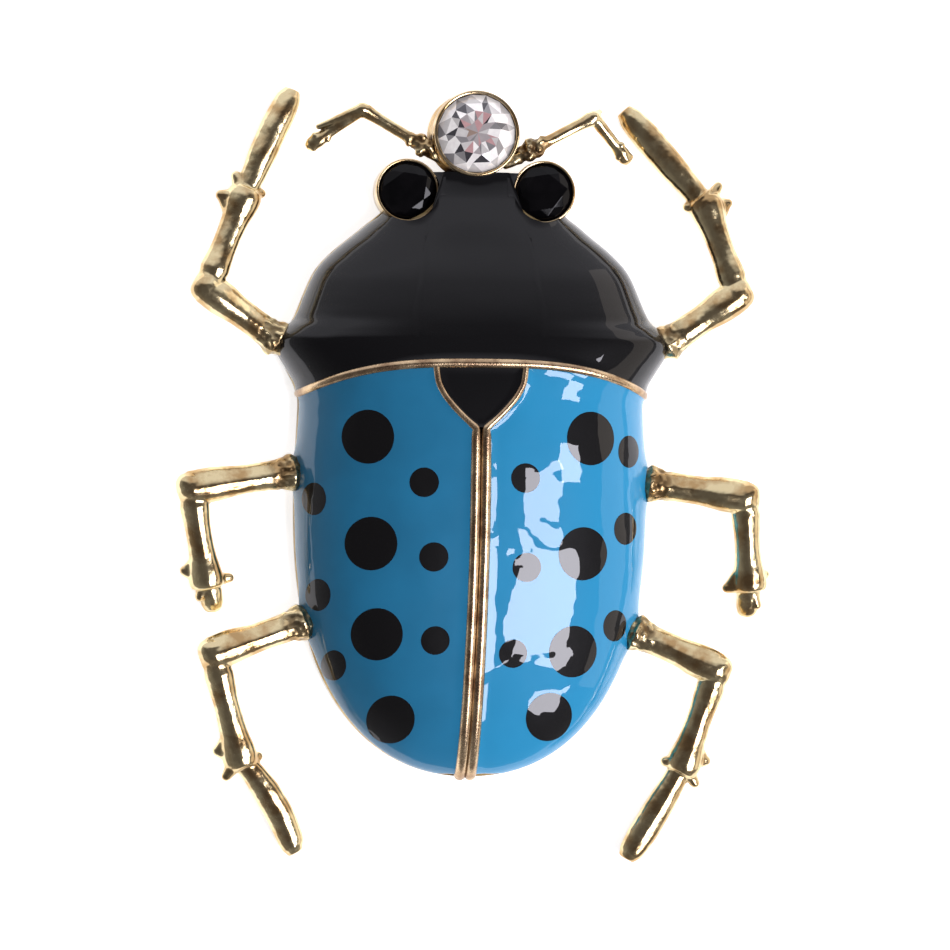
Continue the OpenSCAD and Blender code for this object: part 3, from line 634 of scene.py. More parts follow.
# %% [markdown]
# ## The casting's body
# Under the enamel the metal is a hollow shell that stands on a plain rim. It could be a solid dome with
# the hollow cut out of it. One closed section that runs from head to tail needs no cut: over the dome,
# down the rim, and back under the roof of the hollow. Outside the hollow its inner half simply lies
# flat. Two posts inside the back carry the pin.


# %% Solids from rings of points
def ring_solid(name, rings):
    rings = np.asarray(rings)
    r, n = rings.shape[:2]
    at = np.arange(r * n).reshape(r, n)
    faces = [(int(at[i, j]), int(at[i, (j + 1) % n]), int(at[i + 1, (j + 1) % n]), int(at[i + 1, j]))
             for i in range(r - 1) for j in range(n)]
    faces += [tuple(int(k) for k in at[0][::-1]), tuple(int(k) for k in at[-1])]
    return tidy(as_object(name, rings.reshape(-1, 3), faces), 40)


# %% The section of the body at one place
FLOOR = ENAMEL_T + BED_GAP
HOLLOW = FLOOR + 1.1
HOLLOW_BACK = HOLLOW - HALF_L
HOLLOW_FRONT = EYE_Y - EYE_CUP_R - 0.7


def body_section(y):
    arch = dome_point(across(np.linspace(-1, 1, 41), y), y, FLOOR)
    w = float(width_at(np.array(y)))
    turn = np.linspace(np.pi / 2, -np.pi / 2, 41)
    spread = np.sign(turn) * np.abs(np.sin(turn)) ** (2 / float(squareness(y)))
    roof_w, roof_z = max(0.3 * w, w - HOLLOW), 0.0
    if HOLLOW_BACK < y < HOLLOW_FRONT:
        outer_y = max(y * HALF_L / -HOLLOW_BACK, 0.02 - HALF_L) if y < 0 else y
        roof_w = max(0.4, float(width_at(np.array(outer_y))) - HOLLOW)
        roof_z = max(1.2, RIM_H + float(ridge_at(np.array(y))) - HOLLOW)
    roof = np.stack([roof_w * spread, 0 * spread + y, roof_z * np.maximum(0, np.cos(turn))], -1)
    step = [(w - FLOOR, RIM_H - GAP), (w - 0.1, RIM_H - GAP), (w, RIM_H - 0.18), (w, 0.1), (w - 0.1, 0.0)]
    right_side = [(x, y, z) for x, z in step]
    left_side = [(-x, y, z) for x, z in reversed(step)]
    return np.concatenate([arch, right_side, roof, left_side])


# %% The shell and its two posts
front_rows = HALF_L * np.linspace(0.995, -0.08, 60)
tail_rows = WIDEST_Y + (0.02 - HALF_L - WIDEST_Y) * np.sin(np.linspace(0.05, np.pi / 2, 40))
hollow_rows = [HOLLOW_FRONT + 0.01, HOLLOW_FRONT - 0.01, HOLLOW_BACK + 0.01, HOLLOW_BACK - 0.01]
body_rows = np.sort(np.concatenate([front_rows, tail_rows, hollow_rows]))[::-1]
body = ring_solid("cast_body", [body_section(float(y)) for y in body_rows])
POST_X, POST_Y, POST_R, POST_LOW, POST_HIGH = 8.0, 8.0, 1.5, 3.65, 5.6
POST_FLARE = 1.12
posts = []
for side, name in SIDES:
    turn = np.linspace(0, 2 * np.pi, 48, endpoint=False)
    circle = np.stack([side * POST_X + POST_R * np.cos(turn), POST_Y + POST_R * np.sin(turn)], -1)
    foot = (circle - (side * POST_X, POST_Y)) * POST_FLARE + (side * POST_X, POST_Y)
    levels = ((POST_LOW, circle), (POST_HIGH - 0.6, circle), (POST_HIGH, foot))
    rings = [np.concatenate([points, np.full((len(turn), 1), z)], 1) for z, points in levels]
    posts.append(ring_solid(f"pin_post_{name}", rings))
print("body:", len(body.data.polygons), "faces, posts:", len(posts))

# %% [markdown]
# ## Legs and feelers
# The real legs were cast from a hand-cut wax: two planes that meet in a soft ridge, a little uneven,
# with fillets where forms meet. They could be swept like the bars, but then knees and spurs would meet
# in hard seams. So rods, knots and spurs are gathered in one mesh, Remesh turns them into one skin, and
# a smoothing pass melts the joints. A little noise keeps them from looking machined. Near its root a leg
# is rougher, and a value called stain marks the pits there, which the gold's finish darkens.

# %% Thickness along each rod: the place as a share of its length, then a share of the radius
THIGH = smooth_table([
    (-0.13, 0.8), (0, 0.95), (0.07, 1.38), (0.16, 1.16), (0.28, 1.05), (0.5, 1.03), (0.84, 1.24),
    (1.02, 1.18)])
SHIN = smooth_table([
    (-0.08, 1.02), (0.06, 1.04), (0.13, 0.92), (0.2, 1.04), (0.48, 0.9), (0.75, 0.98), (0.93, 1.2),
    (1.02, 1.25), (1.07, 1.1)])
FOOT = smooth_table([
    (-0.02, 1.0), (0.09, 0.94), (0.2, 1.0), (0.45, 1.16), (0.7, 1.18), (0.88, 1.1), (0.96, 0.98),
    (1.02, 0.66)])
FEELER_NEAR = smooth_table([(-0.42, 0.9), (-0.1, 1.35), (0.10, 1.3), (0.35, 0.95), (0.75, 1.0), (0.96, 1.25)])
FEELER_FAR = smooth_table([(-0.02, 1.2), (0.12, 1.05), (0.60, 0.92), (0.82, 1.25), (0.94, 1.1), (1.02, 0.5)])
print("thickest and thinnest of a shin:", round(float(SHIN(1.02)), 2), round(float(SHIN(0.48)), 2))


# %% Rods, knots and spurs
def heading(angle, length, rise):
    turn = math.radians(angle)
    return np.array([length * math.cos(turn), length * math.sin(turn), rise])


def unit(v):
    return np.asarray(v, float) / max(float(np.linalg.norm(v)), 1e-9)


# A rod's upper half is two planes: one faces the given way, the other faces off it. Each has a power:
# 1 is round, less is fuller and more is flatter. The last number leans the ridge between them.
SHIN_PLANES = (np.array([1, -0.45, 0]), 0.75, 1.3, 0.16)
THIGH_PLANES = (np.array([0.15, 1, 0]), 1.4, 0.9, -0.14)
LOW_HALF = 0.9
FLATNESS = 0.88


def add_rod(work, start, end, low, high, thickness, bow=0.0, sides=28, steps=30, planes=SHIN_PLANES):
    toward, lit, shade, tip = planes
    way = end - start
    flat = unit([-way[1], way[0], 0])
    side = unit(np.cross(way, [0, 0, 1]))
    side = side if side @ toward > 0 else -side
    tipped = unit(unit(np.cross(side, way)) * np.sign(np.cross(side, way)[2]) + tip * side)
    side = unit(side - (side @ tipped) * tipped)
    rings = []
    for s in np.linspace(low, high, steps):
        p = start + s * way + bow * np.linalg.norm(way) * 4 * s * (1 - s) * flat
        r = float(thickness(s))
        ring = []
        for a in np.linspace(0, 2 * np.pi, sides, endpoint=False):
            power = (lit if math.cos(a) > 0 else shade) if a < math.pi else LOW_HALF
            over = math.copysign(abs(math.cos(a)) ** power, math.cos(a))
            high_part = math.copysign(abs(math.sin(a)) ** power, math.sin(a))
            ring.append(work.verts.new(p + r * (over * side + FLATNESS * high_part * tipped)))
        rings.append(ring)
    for a, b in zip(rings, rings[1:]):
        for i in range(sides):
            j = (i + 1) % sides
            work.faces.new((a[i], a[j], b[j], b[i]))
    work.faces.new(rings[0][::-1])
    work.faces.new(rings[-1])


def add_knot(work, p, r, stretch=(1, 1, 1)):
    size = Matrix.Translation(Vector(p)) @ Matrix.Diagonal((*[r * k for k in stretch], 1))
    bmesh.ops.create_icosphere(work, subdivisions=3, radius=1, matrix=size)


def add_spur(work, p, tip, r, end_r):
    for s in np.linspace(0, 1, 2 + int(np.linalg.norm(tip - p) / 0.16)):
        add_knot(work, p + s * (tip - p), r + s**0.8 * (end_r - r))


def add_collar(work, p, way, r, half):
    add_rod(work, p - half * way, p + half * way, 0, 1,
            lambda s: r * math.sqrt(max(0.05, 1 - 0.55 * (2 * s - 1) ** 2)), steps=9)


# %% Melt the gathered forms into one cast skin
VOXEL = 0.1
ROUGH_REACH = 1.6
PIT_DEPTH = 0.2


def cast(name, work, rough_at, rounds=4, wave=0.03):
    mesh = bpy.data.meshes.new(name)
    work.to_mesh(mesh)
    work.free()
    piece = bpy.data.objects.new(name, mesh)
    bpy.context.scene.collection.objects.link(piece)
    skin = piece.modifiers.new("skin", "REMESH")
    skin.mode, skin.voxel_size, skin.use_smooth_shade = "VOXEL", VOXEL, True
    melt = piece.modifiers.new("melt", "SMOOTH")
    melt.factor, melt.iterations = 0.5, rounds
    baked(piece)
    count = len(piece.data.vertices)
    p, out = np.zeros(3 * count), np.zeros(3 * count)
    piece.data.vertices.foreach_get("co", p)
    piece.data.vertex_normals.foreach_get("vector", out)
    p, out = p.reshape(-1, 3), out.reshape(-1, 3)
    points = [Vector(v) for v in p]
    push = np.array([wave * noise.noise(v * 0.75) + 0.3 * wave * noise.noise(v * 2.6) for v in points])
    near = np.exp(-(np.linalg.norm(p - rough_at, axis=1) / ROUGH_REACH) ** 4)
    ridges = np.array([noise.noise(v * 2.1) for v in points])
    push += near * (PIT_DEPTH * ridges - 0.04)
    stain = piece.data.attributes.new("stain", "FLOAT", "POINT")
    stain.data.foreach_set("value", near * np.clip(0.85 - 2.6 * ridges, 0, 1))
    piece.data.vertices.foreach_set("co", ((p + out * push[:, None]) * MM).ravel())
    piece.data.update()
    for face in piece.data.polygons:
        face.use_smooth = True
    return piece


# %% Build the legs
LEG_UNIT, LEG_R = 8, 1.15
ROOT_Z, KNEE_Z, FOOT_Z = RIM_H + 0.9, 3.1, 1.05
SHORT_FOOT, SHORT_TAPER = 0.5, 0.3
SPUR_L = 2.0


def build_leg(name, row):
    side, root_share, thigh_l, thigh_way, shin_l, shin_way, foot_l, foot_way, bow, *spur_ways = row
    root_y = root_share * HALF_L
    ankle_z = (KNEE_Z + FOOT_Z) / 2 - 0.1
    root = np.array([side * (float(width_at(np.array(root_y))) - ENAMEL_T / 2), root_y, ROOT_Z])
    knee = root + heading(thigh_way, thigh_l * LEG_UNIT + ENAMEL_T / 2, KNEE_Z - ROOT_Z)
    ankle = knee + heading(shin_way, shin_l * LEG_UNIT, ankle_z - KNEE_Z)
    foot = ankle + heading(foot_way, foot_l * LEG_UNIT, FOOT_Z - ankle_z)
    taper = SHORT_TAPER if foot_l < SHORT_FOOT else 0.0
    work = bmesh.new()
    add_rod(work, root, knee, -0.13, 1.02, lambda s: LEG_R * THIGH(s), planes=THIGH_PLANES)
    add_rod(work, knee, ankle, -0.08, 1.08, lambda s: LEG_R * SHIN(s))
    add_rod(work, ankle, foot, -0.02, 1.03, lambda s: 0.86 * LEG_R * FOOT(s) * (1 - taper * s), bow + 0.02)
    corner = unit(unit(knee - root) + unit(knee - ankle))
    add_knot(work, knee, 1.1 * LEG_R, (1, 1, 0.92))
    add_knot(work, knee + 0.35 * LEG_R * corner, 0.85 * LEG_R)
    add_collar(work, ankle + 0.07 * (foot - ankle), unit(foot - ankle), LEG_R * 1.12, 0.18)
    add_collar(work, knee + 0.19 * (ankle - knee), unit(ankle - knee), LEG_R * 1.02, 0.12)
    for i, spur_way in enumerate(spur_ways):
        tip = ankle + heading(spur_way, SPUR_L * (0.8 if i == 2 else 1) - 0.12, -0.1)
        add_spur(work, ankle, tip, LEG_R * (0.8 - 0.04 * i), 0.42)
        if i == 0:
            add_spur(work, ankle - 0.26 * (ankle - knee), tip, LEG_R * 0.62, 0.34)
    return cast(name, work, root + 0.12 * (knee - root))


legs = {name: build_leg(name, row) for name, row in LEGS.items()}
print("legs:", sum(len(p.data.polygons) for p in legs.values()), "faces")

# %% Build the feelers: root as shares of the cup's half width, then length and direction of each part
FEELER_UNIT = 6.3
FEELER_R = 0.5
FEELERS = {
    "feeler_left": (-1.115, -0.314, 0.95, 150, 0.84, 215, 0.60, 202),
    "feeler_right": (1.220, -0.349, 0.94, 28, 0.74, 311, 0.12, 44)}
ROOT_KNOTS = ((0.02, 70, 0.62), (0.1, -75, 0.5), (-0.1, -20, 0.75), (0.22, 80, 0.34))
TIP_KNOTS = ((0.66, 70, 0.3), (0.8, -80, 0.33), (0.9, 60, 0.3))


def build_feeler(name, row):
    root_x, root_y, near_l, near_way, far_l, far_way, branch_l, branch_way = row
    root = np.array([root_x * CRYSTAL_CUP_R, CRYSTAL_Y + root_y * CRYSTAL_CUP_R, CRYSTAL_Z - 1])
    elbow = root + heading(near_way, near_l * FEELER_UNIT, 0.3)
    tip = elbow + heading(far_way, far_l * FEELER_UNIT, -1.2)
    branch = elbow + heading(branch_way, branch_l * FEELER_UNIT, -0.5)
    work = bmesh.new()
    add_rod(work, root, elbow, -0.42, 0.96, lambda s: FEELER_R * FEELER_NEAR(s), sides=18)
    add_rod(work, elbow, tip, -0.02, 1.02, lambda s: FEELER_R * FEELER_FAR(s), sides=18)
    add_spur(work, elbow, branch, FEELER_R * 1.15, FEELER_R * 0.5)
    for share, turn, size in ROOT_KNOTS:
        add_knot(work, root + share * (elbow - root) + heading(near_way + turn, 0.4, 0.1), size)
    for share, turn, size in TIP_KNOTS:
        add_knot(work, elbow + share * (tip - elbow) + heading(far_way + turn, 0.4, 0.1), size)
    return cast(name, work, root + 0.03 * (elbow - root), 3, 0.02)


feelers = {name: build_feeler(name, row) for name, row in FEELERS.items()}
print("feelers:", sum(len(p.data.polygons) for p in feelers.values()), "faces")

# %% [markdown]
# ## Stone cups
# Each stone sits in a turned cup whose thin lip is rubbed over its edge. Screw or the Spin tool would
# turn its profile round an axis. Doing it point by point here lets the wall lean as well: the clear
# stone's cup leans a little, so that its ringed wall shows at the left.


# %% Spin a profile into a cup
def spin(name, profile, x, y, lean, sides=96):
    turn = np.linspace(0, 2 * np.pi, sides, endpoint=False)
    top = max(z for r, z in profile)
    rings = []
    for r, z in profile:
        ring_x = x + lean[0] * (top - z) + r * np.cos(turn)
        ring_y = y + lean[1] * (top - z) + r * np.sin(turn)
        rings.append(np.stack([ring_x, ring_y, 0 * turn + z], -1))
    points = np.concatenate(rings)
    n = len(profile)
    faces = [(i * sides + j, i * sides + (j + 1) % sides, ((i + 1) % n) * sides + (j + 1) % sides,
              ((i + 1) % n) * sides + j) for i in range(n) for j in range(sides)]
    return tidy(as_object(name, points, faces), 42)


def cup_profile(d, girdle_z, grooves, lip_w):
    bore = d / 2 + STONE_GAP
    outer = bore + lip_w + 0.06
    lip = girdle_z + 0.42
    wall = [(0.75 * outer, 0.7), (0.93 * outer, 1.2), (outer, 1.8)]
    for z in grooves:
        wall += [(outer, z - 0.16), (outer - 0.1, z - 0.05), (outer - 0.1, z + 0.05), (outer, z + 0.16)]
    top = bore + lip_w
    rolled = [(outer, lip - 0.5), (top + 0.04, lip - 0.12), (top, lip - 0.03), (top - 0.06, lip),
              (bore + 0.03, lip), (bore - 0.03, lip - 0.05), (bore - 0.05, lip - 0.14),
              (bore, girdle_z + 0.1)]
    inside = [(bore, girdle_z - 0.25), (0.55 * bore, girdle_z - 1.5), (0.3, girdle_z - 2.5), (0.3, 0.7)]
    return wall + rolled + inside


GROOVES = (2.1, 2.6, 3.1)
front_cup = cup_profile(CRYSTAL_D, CRYSTAL_Z, GROOVES, 0.2)
eye_cup = cup_profile(EYE_D, EYE_Z, (), 0.14)
cups = [
    spin("cup_crystal", front_cup, 0, CRYSTAL_Y, (-0.16, -0.06)),
    spin("cup_eye_left", eye_cup, -EYE_X, EYE_Y, (-0.05, -0.04)),
    spin("cup_eye_right", eye_cup, EYE_X, EYE_Y, (0.03, -0.04))]
print("cups:", [len(piece.data.polygons) for piece in cups], "faces")

# %% [markdown]
# ## Cut stones
# A cut stone is the smallest closed shape round its corners, so a convex hull of rings of points gives
# every facet flat and in place, with no face to be typed. A tiny bevel lets each facet edge catch a
# line of light. The clear stone has mirrored back facets that show through the front as a mosaic, each
# one mirroring another part of the room. Real glass over a mirror would need that room and long light
# paths, so its front is split into small facets with a tone each, charted one by one: painted reflections.


# %% Cut a stone
def cut_stone(name, d, x, y, z, turn):
    r = d / 2
    table, star, crown, girdle, depth = 0.62 * r, 0.82 * r, 0.11 * d, 0.2, 0.34 * d
    star_z = crown - crown * (star * math.cos(math.pi / 8) - table) / (r - table)
    rings = [(table, crown, 8, 0), (star, star_z, 8, 22.5), (r, 0, 16, 0), (r, -girdle, 16, 0),
             (0.52 * r, -girdle - 0.52 * depth, 8, 22.5), (0.5 * r, -girdle - 0.5 * depth, 8, 0)]
    work = bmesh.new()
    for radius, height, count, start in rings:
        for i in range(count):
            a = math.radians(start + turn + 360 * i / count)
            work.verts.new((x + radius * math.cos(a), y + radius * math.sin(a), z + height))
    work.verts.new((x, y, z - girdle - depth))
    hull = bmesh.ops.convex_hull(work, input=work.verts)
    inside = [v for v in hull["geom_interior"] if isinstance(v, bmesh.types.BMVert)]
    bmesh.ops.delete(work, geom=inside, context="VERTS")
    bmesh.ops.dissolve_limit(work, angle_limit=math.radians(0.6), verts=work.verts, edges=work.edges)
    bmesh.ops.bevel(work, geom=work.edges[:], offset=0.018, segments=1, affect="EDGES", profile=0.5)
    bmesh.ops.recalc_face_normals(work, faces=work.faces)
    bmesh.ops.transform(work, matrix=Matrix.Scale(MM, 4), verts=work.verts)
    mesh = bpy.data.meshes.new(name)
    work.to_mesh(mesh)
    work.free()
    stone = bpy.data.objects.new(name, mesh)
    bpy.context.scene.collection.objects.link(stone)
    return stone


# %% Colours on a screen, turned to linear light
def colour(code):
    parts = [int(code[i:i + 2], 16) / 255 for i in (1, 3, 5)]
    return (*[v / 12.92 if v <= 0.04045 else ((v + 0.055) / 1.055) ** 2.4 for v in parts], 1.0)


# %% The clear stone's painted reflections, ring by ring from the edge to the middle
REFLECTION_TONES = {
    "white": "#FFFCF8", "pale": "#D1CECB", "grey": "#8B898A", "dark": "#3C3A3F",
    "rose": "#C59B9B", "brown": "#9E897C", "mist": "#ADA6A6"}
GIRDLE_REFLECTIONS = ["white", "pale", "white", "white", "pale", "white", "white", "grey",
                "pale", "grey", "white", "pale", "white", "white", "pale", "white"]
MAIN_REFLECTIONS = ["dark", "white", "grey", "white", "grey", "white", "pale", "dark",
              "white", "dark", "dark", "white", "grey", "white", "grey", "white"]
TABLE_REFLECTIONS = ["grey", "white", "rose", "rose", "white", "mist", "dark", "pale",
               "grey", "pale", "rose", "mist", "pale", "grey", "pale", "white"]
HEART_REFLECTIONS = ["mist", "mist", "rose", "rose", "mist", "mist", "brown", "brown",
               "mist", "grey", "mist", "rose", "mist", "mist", "mist", "pale"]


# %% Cut the clear stone
AROUND = 16


def foiled_stone(name, d, x, y, z, turn):
    r = d / 2
    crown = 0.15 * d
    heights = [
        (0.3 * r, crown), (0.58 * r, crown), (0.79 * r, 0.55 * crown), (r, 0.0), (r, -0.2),
        (0.5 * r, -0.19 * d)]
    points = [(x, y, z + crown)]
    for k, (radius, height) in enumerate(heights):
        for i in range(AROUND):
            sway = (k < 3) * math.sin(2.4 * i + 1.7 * k)
            shift = 0.5 * (k in (0, 2)) + 0.28 * sway * (k != 1)
            a = math.radians(turn + 360 / AROUND * (i + shift))
            flat = math.cos(math.pi / 8) if k == 1 and i % 2 else 1
            flat += 0.22 * sway if k == 0 else 0.03 * sway
            points.append((x + flat * radius * math.cos(a), y + flat * radius * math.sin(a), z + height))
    points.append((x, y, z - 0.36 * d))
    faces, charted_reflections = [], []
    for i in range(AROUND):
        j = (i + 1) % AROUND
        faces.append((0, 1 + i, 1 + j))
        charted_reflections.append(HEART_REFLECTIONS[i])
        for k, chart in enumerate((TABLE_REFLECTIONS, MAIN_REFLECTIONS, GIRDLE_REFLECTIONS)):
            inner, outer = 1 + AROUND * k, 1 + AROUND * (k + 1)
            if k == 1:
                faces += [(inner + i, outer + i, inner + j), (inner + j, outer + i, outer + j)]
            else:
                faces += [(inner + i, outer + i, outer + j), (inner + i, outer + j, inner + j)]
            charted_reflections += [chart[i], chart[(i + 5) % AROUND]]
        for k in (3, 4):
            inner, outer = 1 + AROUND * k, 1 + AROUND * (k + 1)
            faces.append((inner + i, outer + i, outer + j, inner + j))
            charted_reflections.append("pale")
        last = 1 + AROUND * 5
        faces.append((last + i, last + AROUND, last + j))
        charted_reflections.append("grey")
    stone = as_object(name, points, faces)
    # The tone of each facet is its painted reflection
    tone = stone.data.attributes.new("tone", "FLOAT_COLOR", "FACE")
    tone.data.foreach_set("color", np.array([colour(REFLECTION_TONES[k]) for k in charted_reflections]).ravel())
    return tidy(stone)


crystal = foiled_stone("crystal_glass", CRYSTAL_D, 0, CRYSTAL_Y, CRYSTAL_Z, 9)
eyes = [cut_stone("eye_jet_left", EYE_D + 0.1, -EYE_X, EYE_Y, EYE_Z + 0.1, 14),
        cut_stone("eye_jet_right", EYE_D + 0.1, EYE_X, EYE_Y, EYE_Z + 0.1, 31)]
print("facets:", len(crystal.data.polygons), "on the clear stone,", len(eyes[0].data.polygons), "on an eye")

# %% [markdown]
# ## Finishes
# Each finish starts from one shader, Principled, with a few patterns that feed it. The patterns read
# Object coordinates, turned to millimetres, so that their scale is a real size and they stay on the
# piece. Painted image textures could do the same, but they would be sharp at one distance only.

# %% Start a finish
def new_finish(name):
    finish = bpy.data.materials.new(name)
    finish.use_nodes = True
    tree = finish.node_tree
    place = add_node(tree, "ShaderNodeTexCoord")
    mm = add_node(tree, "ShaderNodeVectorMath", {3: 1 / MM}, {0: place.outputs["Object"]}, operation="SCALE")
    print("finish:", name)
    return finish, tree, tree.nodes["Principled BSDF"], mm.outputs[0]


# %% [markdown]
# ### Antique gold plate
# Pale gold over cast zinc, darkened in the hollows and rubbed bright on the edges. The darkening could be
# painted by hand. Here three things call it up: how closed in a place is and how far its surface bends
# inwards, which paint shade into creases and hollows along with the plate's patina, and the stain value
# of the rough roots. A large cloud varies the gold, and the fine grain of a cast skin breaks the reflections.

# %% Gold plate over a cast skin
CREASE_MM = 1.1
# Waves of a noise to a millimetre, which makes clouds about 1.8 mm wide
GOLD_CLOUD = 0.55


def gold_plate(name, bright, worn, hollow, roughness, grain_mm, bump_mm, stain=1.0):
    finish, tree, shader, mm = new_finish(name)
    cloud = add_node(tree, "ShaderNodeTexNoise", {"Scale": GOLD_CLOUD, "Detail": 4.0}, {"Vector": mm})
    grain = add_node(tree, "ShaderNodeTexNoise", {"Scale": 1 / grain_mm, "Detail": 3.0}, {"Vector": mm})
    # Ambient occlusion and inward bend darken creases and hollows: the plate's patina there, and painted
    # shade as well
    crease = add_node(tree, "ShaderNodeAmbientOcclusion", {"Distance": CREASE_MM * MM}, samples=8)
    bend = add_node(tree, "ShaderNodeNewGeometry")
    closed_in = add_node(
        tree, "ShaderNodeMapRange", {1: 0.3, 2: 0.92, 3: stain, 4: 0}, {0: crease.outputs["AO"]})
    inward = add_node(
        tree, "ShaderNodeMapRange", {1: 0.43, 2: 0.49, 3: stain, 4: 0}, {0: bend.outputs["Pointiness"]})
    hollow_shade_and_patina = add_node(
        tree, "ShaderNodeMath", None, {0: closed_in.outputs[0], 1: inward.outputs[0]},
        operation="MAXIMUM", use_clamp=True)
    marked = add_node(tree, "ShaderNodeAttribute", attribute_name="stain")
    dark = add_node(
        tree, "ShaderNodeMath", None, {0: hollow_shade_and_patina.outputs[0], 1: marked.outputs["Fac"]},
        operation="MAXIMUM", use_clamp=True)
    rubbed = add_node(tree, "ShaderNodeMapRange", {1: 0.42, 2: 0.62, 3: 0, 4: 1}, {0: cloud.outputs[0]})
    plate = add_node(
        tree, "ShaderNodeMix", {6: colour(bright), 7: colour(worn)}, {0: rubbed.outputs[0]}, data_type="RGBA")
    stained_and_shaded = add_node(
        tree, "ShaderNodeMix", {7: colour(hollow)}, {0: dark.outputs[0], 6: plate.outputs[2]},
        data_type="RGBA")
    gloss = add_node(
        tree, "ShaderNodeMapRange", {1: 0.3, 2: 0.7, 3: roughness, 4: roughness + 0.1}, {0: grain.outputs[0]})
    dull = add_node(
        tree, "ShaderNodeMath", {1: 0.25}, {0: dark.outputs[0], 2: gloss.outputs[0]},
        operation="MULTIPLY_ADD")
    skin = add_node(
        tree, "ShaderNodeBump", {"Strength": 0.5, "Distance": bump_mm * MM}, {"Height": grain.outputs[0]})
    tree.links.new(stained_and_shaded.outputs[2], shader.inputs["Base Color"])
    tree.links.new(dull.outputs[0], shader.inputs["Roughness"])
    tree.links.new(skin.outputs[0], shader.inputs["Normal"])
    shader.inputs["Metallic"].default_value = 1.0
    return finish


# Legs and feelers, plated and rubbed: pale highlights, and deep brown hollows of patina and painted shade
cast_gold = gold_plate("antique_gold_plate", "#E8D6A8", "#BD9D6E", "#4A3520", 0.12, 0.3, 0.012)
# Lines, ground down with the enamel: a duller, redder gold with half the stain, patina and painted shade
line_gold = gold_plate("rubbed_gold_line", "#D6BB96", "#A08468", "#4A3626", 0.2, 0.14, 0.02, 0.5)
# Cups, turned and polished: nearly the same gold as the legs, with almost no grain
cup_gold = gold_plate("turned_gold_cup", "#E6CFA6", "#C0A070", "#4E3724", 0.12, 0.3, 0.004)
# Shell and back, as cast: dull and pebbled
shell_gold = gold_plate("cast_gold_back", "#CDB583", "#A58B5A", "#4B3821", 0.3, 0.4, 0.03)

# %% [markdown]
# ### Enamel
# Soft glossy enamel: a pigmented body under a mirror-smooth clear skin. A single glossy shader would
# do, but a coat over a dull body keeps the colour deep between the reflections. Poured by hand, the
# skin is never quite flat, so very shallow waves, 3 to 6 mm long, bend what it mirrors.

# %% Blue and black enamel
# Waves of a noise to a millimetre, which makes clouds about 5.6 mm wide
ENAMEL_CLOUD = 0.18


def enamel(name, left, right, wave_mm, wave_depth, coat_ior=1.5):
    finish, tree, shader, mm = new_finish(name)
    # The body colour runs from the first colour at the left to the second at the right, its edge wobbled by a
    # cloud: painted light, lighter where the window at the right falls
    parts = add_node(tree, "ShaderNodeSeparateXYZ", None, {0: mm})
    cloud = add_node(tree, "ShaderNodeTexNoise", {"Scale": ENAMEL_CLOUD, "Detail": 3.0}, {"Vector": mm})
    drift = add_node(tree, "ShaderNodeMapRange", {1: 0.3, 2: 0.7, 3: -2.5, 4: 2.5}, {0: cloud.outputs[0]})
    shifted = add_node(
        tree, "ShaderNodeMath", None, {0: parts.outputs[0], 1: drift.outputs[0]}, operation="ADD")
    share = add_node(tree, "ShaderNodeMapRange", {1: -12, 2: 6, 3: 0, 4: 1}, {0: shifted.outputs[0]})
    painted_light_tone = add_node(
        tree, "ShaderNodeMix", {6: colour(left), 7: colour(right)}, {0: share.outputs[0]}, data_type="RGBA")
    wave = add_node(tree, "ShaderNodeTexNoise", {"Scale": 1 / wave_mm, "Detail": 1.5}, {"Vector": mm})
    skin = add_node(
        tree, "ShaderNodeBump", {"Strength": 0.6, "Distance": wave_depth * MM}, {"Height": wave.outputs[0]})
    tree.links.new(painted_light_tone.outputs[2], shader.inputs["Base Color"])
    for socket in ("Normal", "Coat Normal"):
        tree.links.new(skin.outputs[0], shader.inputs[socket])
    for socket, value in (("Roughness", 0.4), ("Specular IOR Level", 0.08), ("Coat Weight", 1.0),
                          ("Coat Roughness", 0.012), ("Coat IOR", coat_ior)):
        shader.inputs[socket].default_value = value
    return finish


# The two wing cases get two blues, and each is lighter towards the right: painted light from the window at
# the right, over a deep colour under a glassy skin with soft waves
blues = {
    -1: enamel("blue_enamel_left_case", "#1D6384", "#2584B0", 3.4, 0.2),
    1: enamel("blue_enamel_right_case", "#2584AF", "#2993C3", 3.4, 0.2)}
# Head and shield: a deep black that mirrors less than the blue and is flatter, a hair lighter to the right as
# painted light
black_enamel = enamel("black_poured_enamel", "#070709", "#08080A", 6.0, 0.06, 1.4)
# Spots: black that shares the waves of the blue below, so that reflections run on over it, a hair lighter to
# the right as painted light
spot_enamel = enamel("black_spot_enamel", "#060607", "#08080A", 3.4, 0.2)

# %% [markdown]
# ### Glass and steel
# The clear stone is lead glass over a silver foil: broken bright and dark patches, painted reflections,
# under a clear gloss. Its tones also glow faintly, a painted glow standing in for light that the foil throws
# back from other facets. The eyes are solid black glass. The pin at the back is plated steel wire and strip.

# %% Foiled glass, jet and steel
def plain_finish(name, base, second, cloud_mm, low, high, **values):
    finish, tree, shader, mm = new_finish(name)
    cloud = add_node(tree, "ShaderNodeTexNoise", {"Scale": 1 / cloud_mm, "Detail": 3.0}, {"Vector": mm})
    share = add_node(tree, "ShaderNodeMapRange", {1: 0.35, 2: 0.65, 3: 0, 4: 1}, {0: cloud.outputs[0]})
    tone = add_node(
        tree, "ShaderNodeMix", {6: colour(base), 7: colour(second)}, {0: share.outputs[0]}, data_type="RGBA")
    gloss = add_node(tree, "ShaderNodeMapRange", {1: 0.3, 2: 0.7, 3: low, 4: high}, {0: cloud.outputs[0]})
    tree.links.new(tone.outputs[2], shader.inputs["Base Color"])
    tree.links.new(gloss.outputs[0], shader.inputs["Roughness"])
    for socket, value in values.items():
        shader.inputs[socket.replace("_", " ")].default_value = value
    return finish


